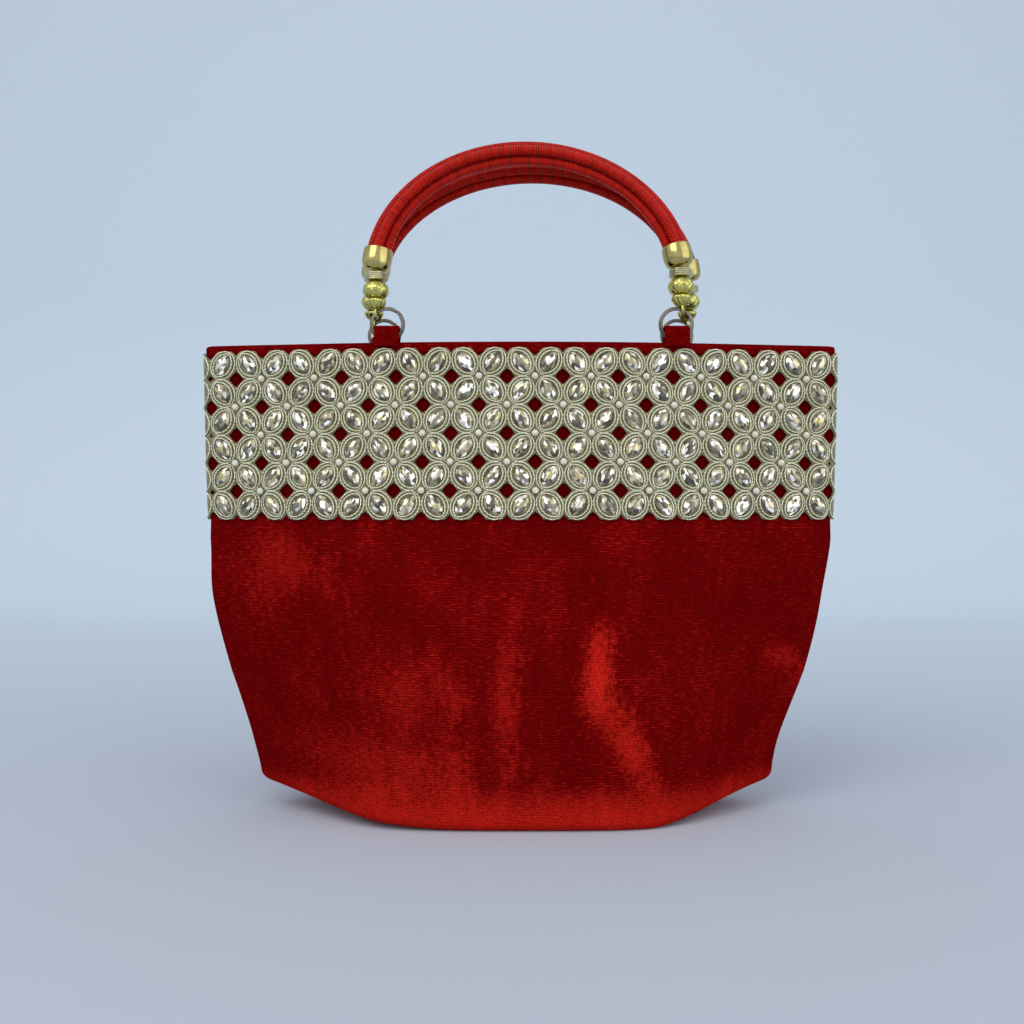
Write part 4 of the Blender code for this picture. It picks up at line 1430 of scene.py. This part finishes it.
class MakeBeads(BagOperator):
    """Makes the eye pins and the cap, round and six-sided beads"""

    bl_idname = "handbag.beads"
    bl_label = "Pins and beads"

    def make(self):
        cap, ball, hexagon, ferrule = stack_heights()
        # Per kind: names of the piece and the node, shape, height, finish, slot and sharp angle
        kinds = (
            ("pin", "eye_pin", self.pin_shape(ferrule), 0.0, "gold", "gold", 40),
            ("cap", "cap_bead", self.cap_shape(), cap, "gold", "gold", 40),
            ("ball", "round_bead", self.ball_shape(), ball, "gold", "gold", 40),
            ("hexagon", "hex_bead", self.hex_shape(), hexagon, "pale gold", "pale_gold", 25),
        )
        for style, end, origin, axes, half_span in handle_ends():
            for name, node, shape, height, metal, slot, sharp in kinds:
                bead = at_stack(shape, end, origin, axes, half_span, height)
                make_piece(
                    f"{name}_{style}_{end}", bead, metal, f"{style}_handle", slot,
                    [f"{node}_{style}_{end}"], sharp,
                )

    def pin_shape(self, ferrule):
        """A wire that runs down the stack, then round an eye: a circle that stops at the neck."""
        tip = ferrule + FERRULE_FLOOR + CLEARANCE
        turn = np.radians(np.linspace(8, 352, 40))
        eye = side_by_side(0, EYE_RADIUS * np.sin(turn), EYE_RADIUS * np.cos(turn))
        down = np.linspace(tip, EYE_RADIUS + PIN_RADIUS * 1.6, 8)
        path = np.concatenate([side_by_side(0, 0, down), eye])
        return sweep(path, circle(PIN_RADIUS, 10), X_AXIS)

    def cap_shape(self):
        """A filigree bell: a flared profile with twelve petals, its narrow foot over the eye."""
        bore = PIN_RADIUS + CLEARANCE
        wide, high = CAP_BEAD_RADIUS * 1.06, CAP_BEAD_HEIGHT
        foot = -EYE_RADIUS * 0.85
        outer = rounded(
            [
                (wide * 0.72, high), (wide * 0.88, high * 0.97), (wide, high * 0.80),
                (wide, high * 0.55), (wide * 0.90, high * 0.25), (wide * 0.74, -high * 0.08),
                (CAP_NECK_RADIUS, -high * 0.35), (CAP_NECK_RADIUS * 0.62, foot),
            ], 34,
        )
        profile = np.concatenate([[(bore, high)], outer, [(bore, foot)]])

        def petals(angle, height):
            """Twelve swung ridges that die out at both ends of the profile."""
            share = np.clip((height - foot) / (high - foot), 0, 1)
            ridge = abs(np.sin(6 * angle + 0.9 * np.sin(np.pi * share))) - 0.6
            return ridge * PETAL_DEPTH * np.sin(np.pi * share) ** 0.5

        return lathe(profile, full_turn(96), petals)

    def ball_shape(self):
        """A carved ball: an ellipse turned round, with swirling lobes between sharp grooves."""
        bore = PIN_RADIUS + CLEARANCE
        half = ROUND_BEAD_HEIGHT / 2
        tall = half * 1.12
        start = math.asin((bore + PIN_RADIUS) / ROUND_BEAD_RADIUS)
        turn = np.linspace(start, np.pi - start, 44)
        outer = side_by_side(ROUND_BEAD_RADIUS * np.sin(turn) ** 0.85, half + tall * np.cos(turn))
        profile = np.concatenate([[(bore, outer[0, 1])], outer, [(bore, outer[-1, 1])]])

        def relief(angle, height):
            level = (height - half) / tall
            belt = np.sqrt(np.clip(1 - level**2, 0, 1))
            first = abs(np.sin(3.5 * angle + 2.2 * level))
            second = abs(np.sin(3.5 * angle - 2.2 * level))
            carved = (np.minimum(first, second) ** 0.7 - 0.5) * CARVING_DEPTH * belt
            carved[0] = carved[-1] = 0
            return carved

        return lathe(profile, full_turn(112), relief)

    def hex_shape(self):
        """A six-sided bead: four ribs with sharp grooves, and its upright edges cut narrow."""
        bore = PIN_RADIUS + CLEARANCE
        high, wide = HEX_BEAD_HEIGHT, HEX_BEAD_RADIUS
        ribs = 4
        level = np.linspace(0, 1, ribs * 8 + 1)
        wave = abs(np.sin(np.pi * ribs * level)) ** 0.6
        outer = side_by_side(wide * (0.90 + 0.10 * wave), high * (1 - level))
        profile = np.concatenate([[(bore, high)], outer, [(bore, 0)]])
        corner = np.radians(60) * np.arange(6)[:, None] + np.radians([-5, 5])
        return lathe(profile, corner.ravel())


class MakeFerrules(BagOperator):
    """Makes the four barrel-shaped ferrules that hold the cords"""

    bl_idname = "handbag.ferrules"
    bl_label = "Ferrules"

    def make(self):
        high, wide = FERRULE_HEIGHT, FERRULE_RADIUS
        bore = PIN_RADIUS + 2 * CLEARANCE
        mouth = wide * 0.965
        outer = rounded(
            [
                (mouth * 0.985, high), (mouth, high * 0.97), (wide * 0.985, high * 0.82),
                (wide, high * 0.62), (wide * 0.985, high * 0.40), (wide * 0.93, high * 0.21),
                (wide * 0.80, high * 0.07), (FERRULE_FOOT_RADIUS * 1.05, 0.0),
            ], 40,
        )
        hollow = mouth - 0.0005
        inner = [
            (bore, 0), (bore, FERRULE_FLOOR), (hollow * 0.82, FERRULE_FLOOR), (hollow, high * 0.3),
            (hollow, high),
        ]
        shape = lathe(np.concatenate([outer, inner]), full_turn(64))
        middle = stack_heights()[3] + high / 2
        for style, end, origin, axes, half_span in handle_ends():
            turn = np.array([arch_turn(style, middle, end)])
            centre, normal = arch(style, half_span, turn)
            centre, normal = centre[0], normal[0]
            # The barrel's axis follows the arch, at a right angle to its outward normal
            up = np.array([-normal[2], 0, normal[0]])
            up = up if up[2] > 0 else -up
            local = side_by_side(np.cross(Y_AXIS, up), Y_AXIS, up)
            barrel = placed(shape._replace(points=shape.points - [0, 0, high / 2]), centre, local)
            make_piece(
                f"barrel_{style}_{end}", placed(barrel, origin, axes), "brass",
                f"{style}_handle", "brass", [f"ferrule_{style}_{end}"], sharp=40,
            )


class MakeCords(BagOperator):
    """Makes the eight wound cords, four for each handle"""

    bl_idname = "handbag.cords"
    bl_label = "Wound cords"

    def make(self):
        foot = stack_heights()[3] + FERRULE_HEIGHT * CORD_SEAT
        reach = (CORD_DIAMETER + CLEARANCE) / math.sqrt(2)
        offsets = {"outer": (reach, 0), "inner": (-reach, 0), "near": (0, -reach), "far": (0, reach)}
        for style in HANDLES:
            origin, axes, half_span = handle_frame(style)
            first, last = arch_turn(style, foot, "right"), arch_turn(style, foot, "left")
            centre, normal = arch(style, half_span, np.linspace(first, last, 220))
            for place, (outward, across) in offsets.items():
                path = centre + outward * normal + across * Y_AXIS
                shape = sweep(path, circle(CORD_DIAMETER / 2, 20), Y_AXIS)
                make_piece(
                    f"wound_cord_{style}_{place}", placed(shape, origin, axes), "cord",
                    f"{style}_handle", "red_thread", [f"cord_{style}_{place}"], sharp=60,
                )


OPERATORS = (
    MakeStage, MakePouch, MakeLining, DressFittings, MakeLace, MakeLoops, MakeRings, MakeBeads,
    MakeFerrules, MakeCords,
)


class BagPanel(bpy.types.Panel):
    """Lists the bag's settings and the operators that make its pieces"""

    bl_idname = "VIEW3D_PT_handbag"
    bl_label = "Evening handbag"
    bl_space_type = "VIEW_3D"
    bl_region_type = "UI"
    bl_category = "Handbag"

    def draw(self, context):
        for group in (sizes(), colours(), studio()):
            box = self.layout.box()
            for name in group.__annotations__:
                box.prop(group, name)
        for operator in OPERATORS:
            self.layout.operator(operator.bl_idname)


CLASSES = (BagSizes, BagColours, StudioSettings, *OPERATORS, BagPanel)


def register():
    for cls in CLASSES:
        bpy.utils.register_class(cls)
    bpy.types.Scene.bag_sizes = bpy.props.PointerProperty(type=BagSizes)
    bpy.types.Scene.bag_colours = bpy.props.PointerProperty(type=BagColours)
    bpy.types.Scene.bag_studio = bpy.props.PointerProperty(type=StudioSettings)


def unregister():
    del bpy.types.Scene.bag_studio
    del bpy.types.Scene.bag_colours
    del bpy.types.Scene.bag_sizes
    for cls in reversed(CLASSES):
        bpy.utils.unregister_class(cls)


def main():
    """Makes every group of pieces in order."""
    register()
    for operator in OPERATORS:
        group, name = operator.bl_idname.split(".")
        getattr(getattr(bpy.ops, group), name)()


if __name__ == "__main__":
    main()
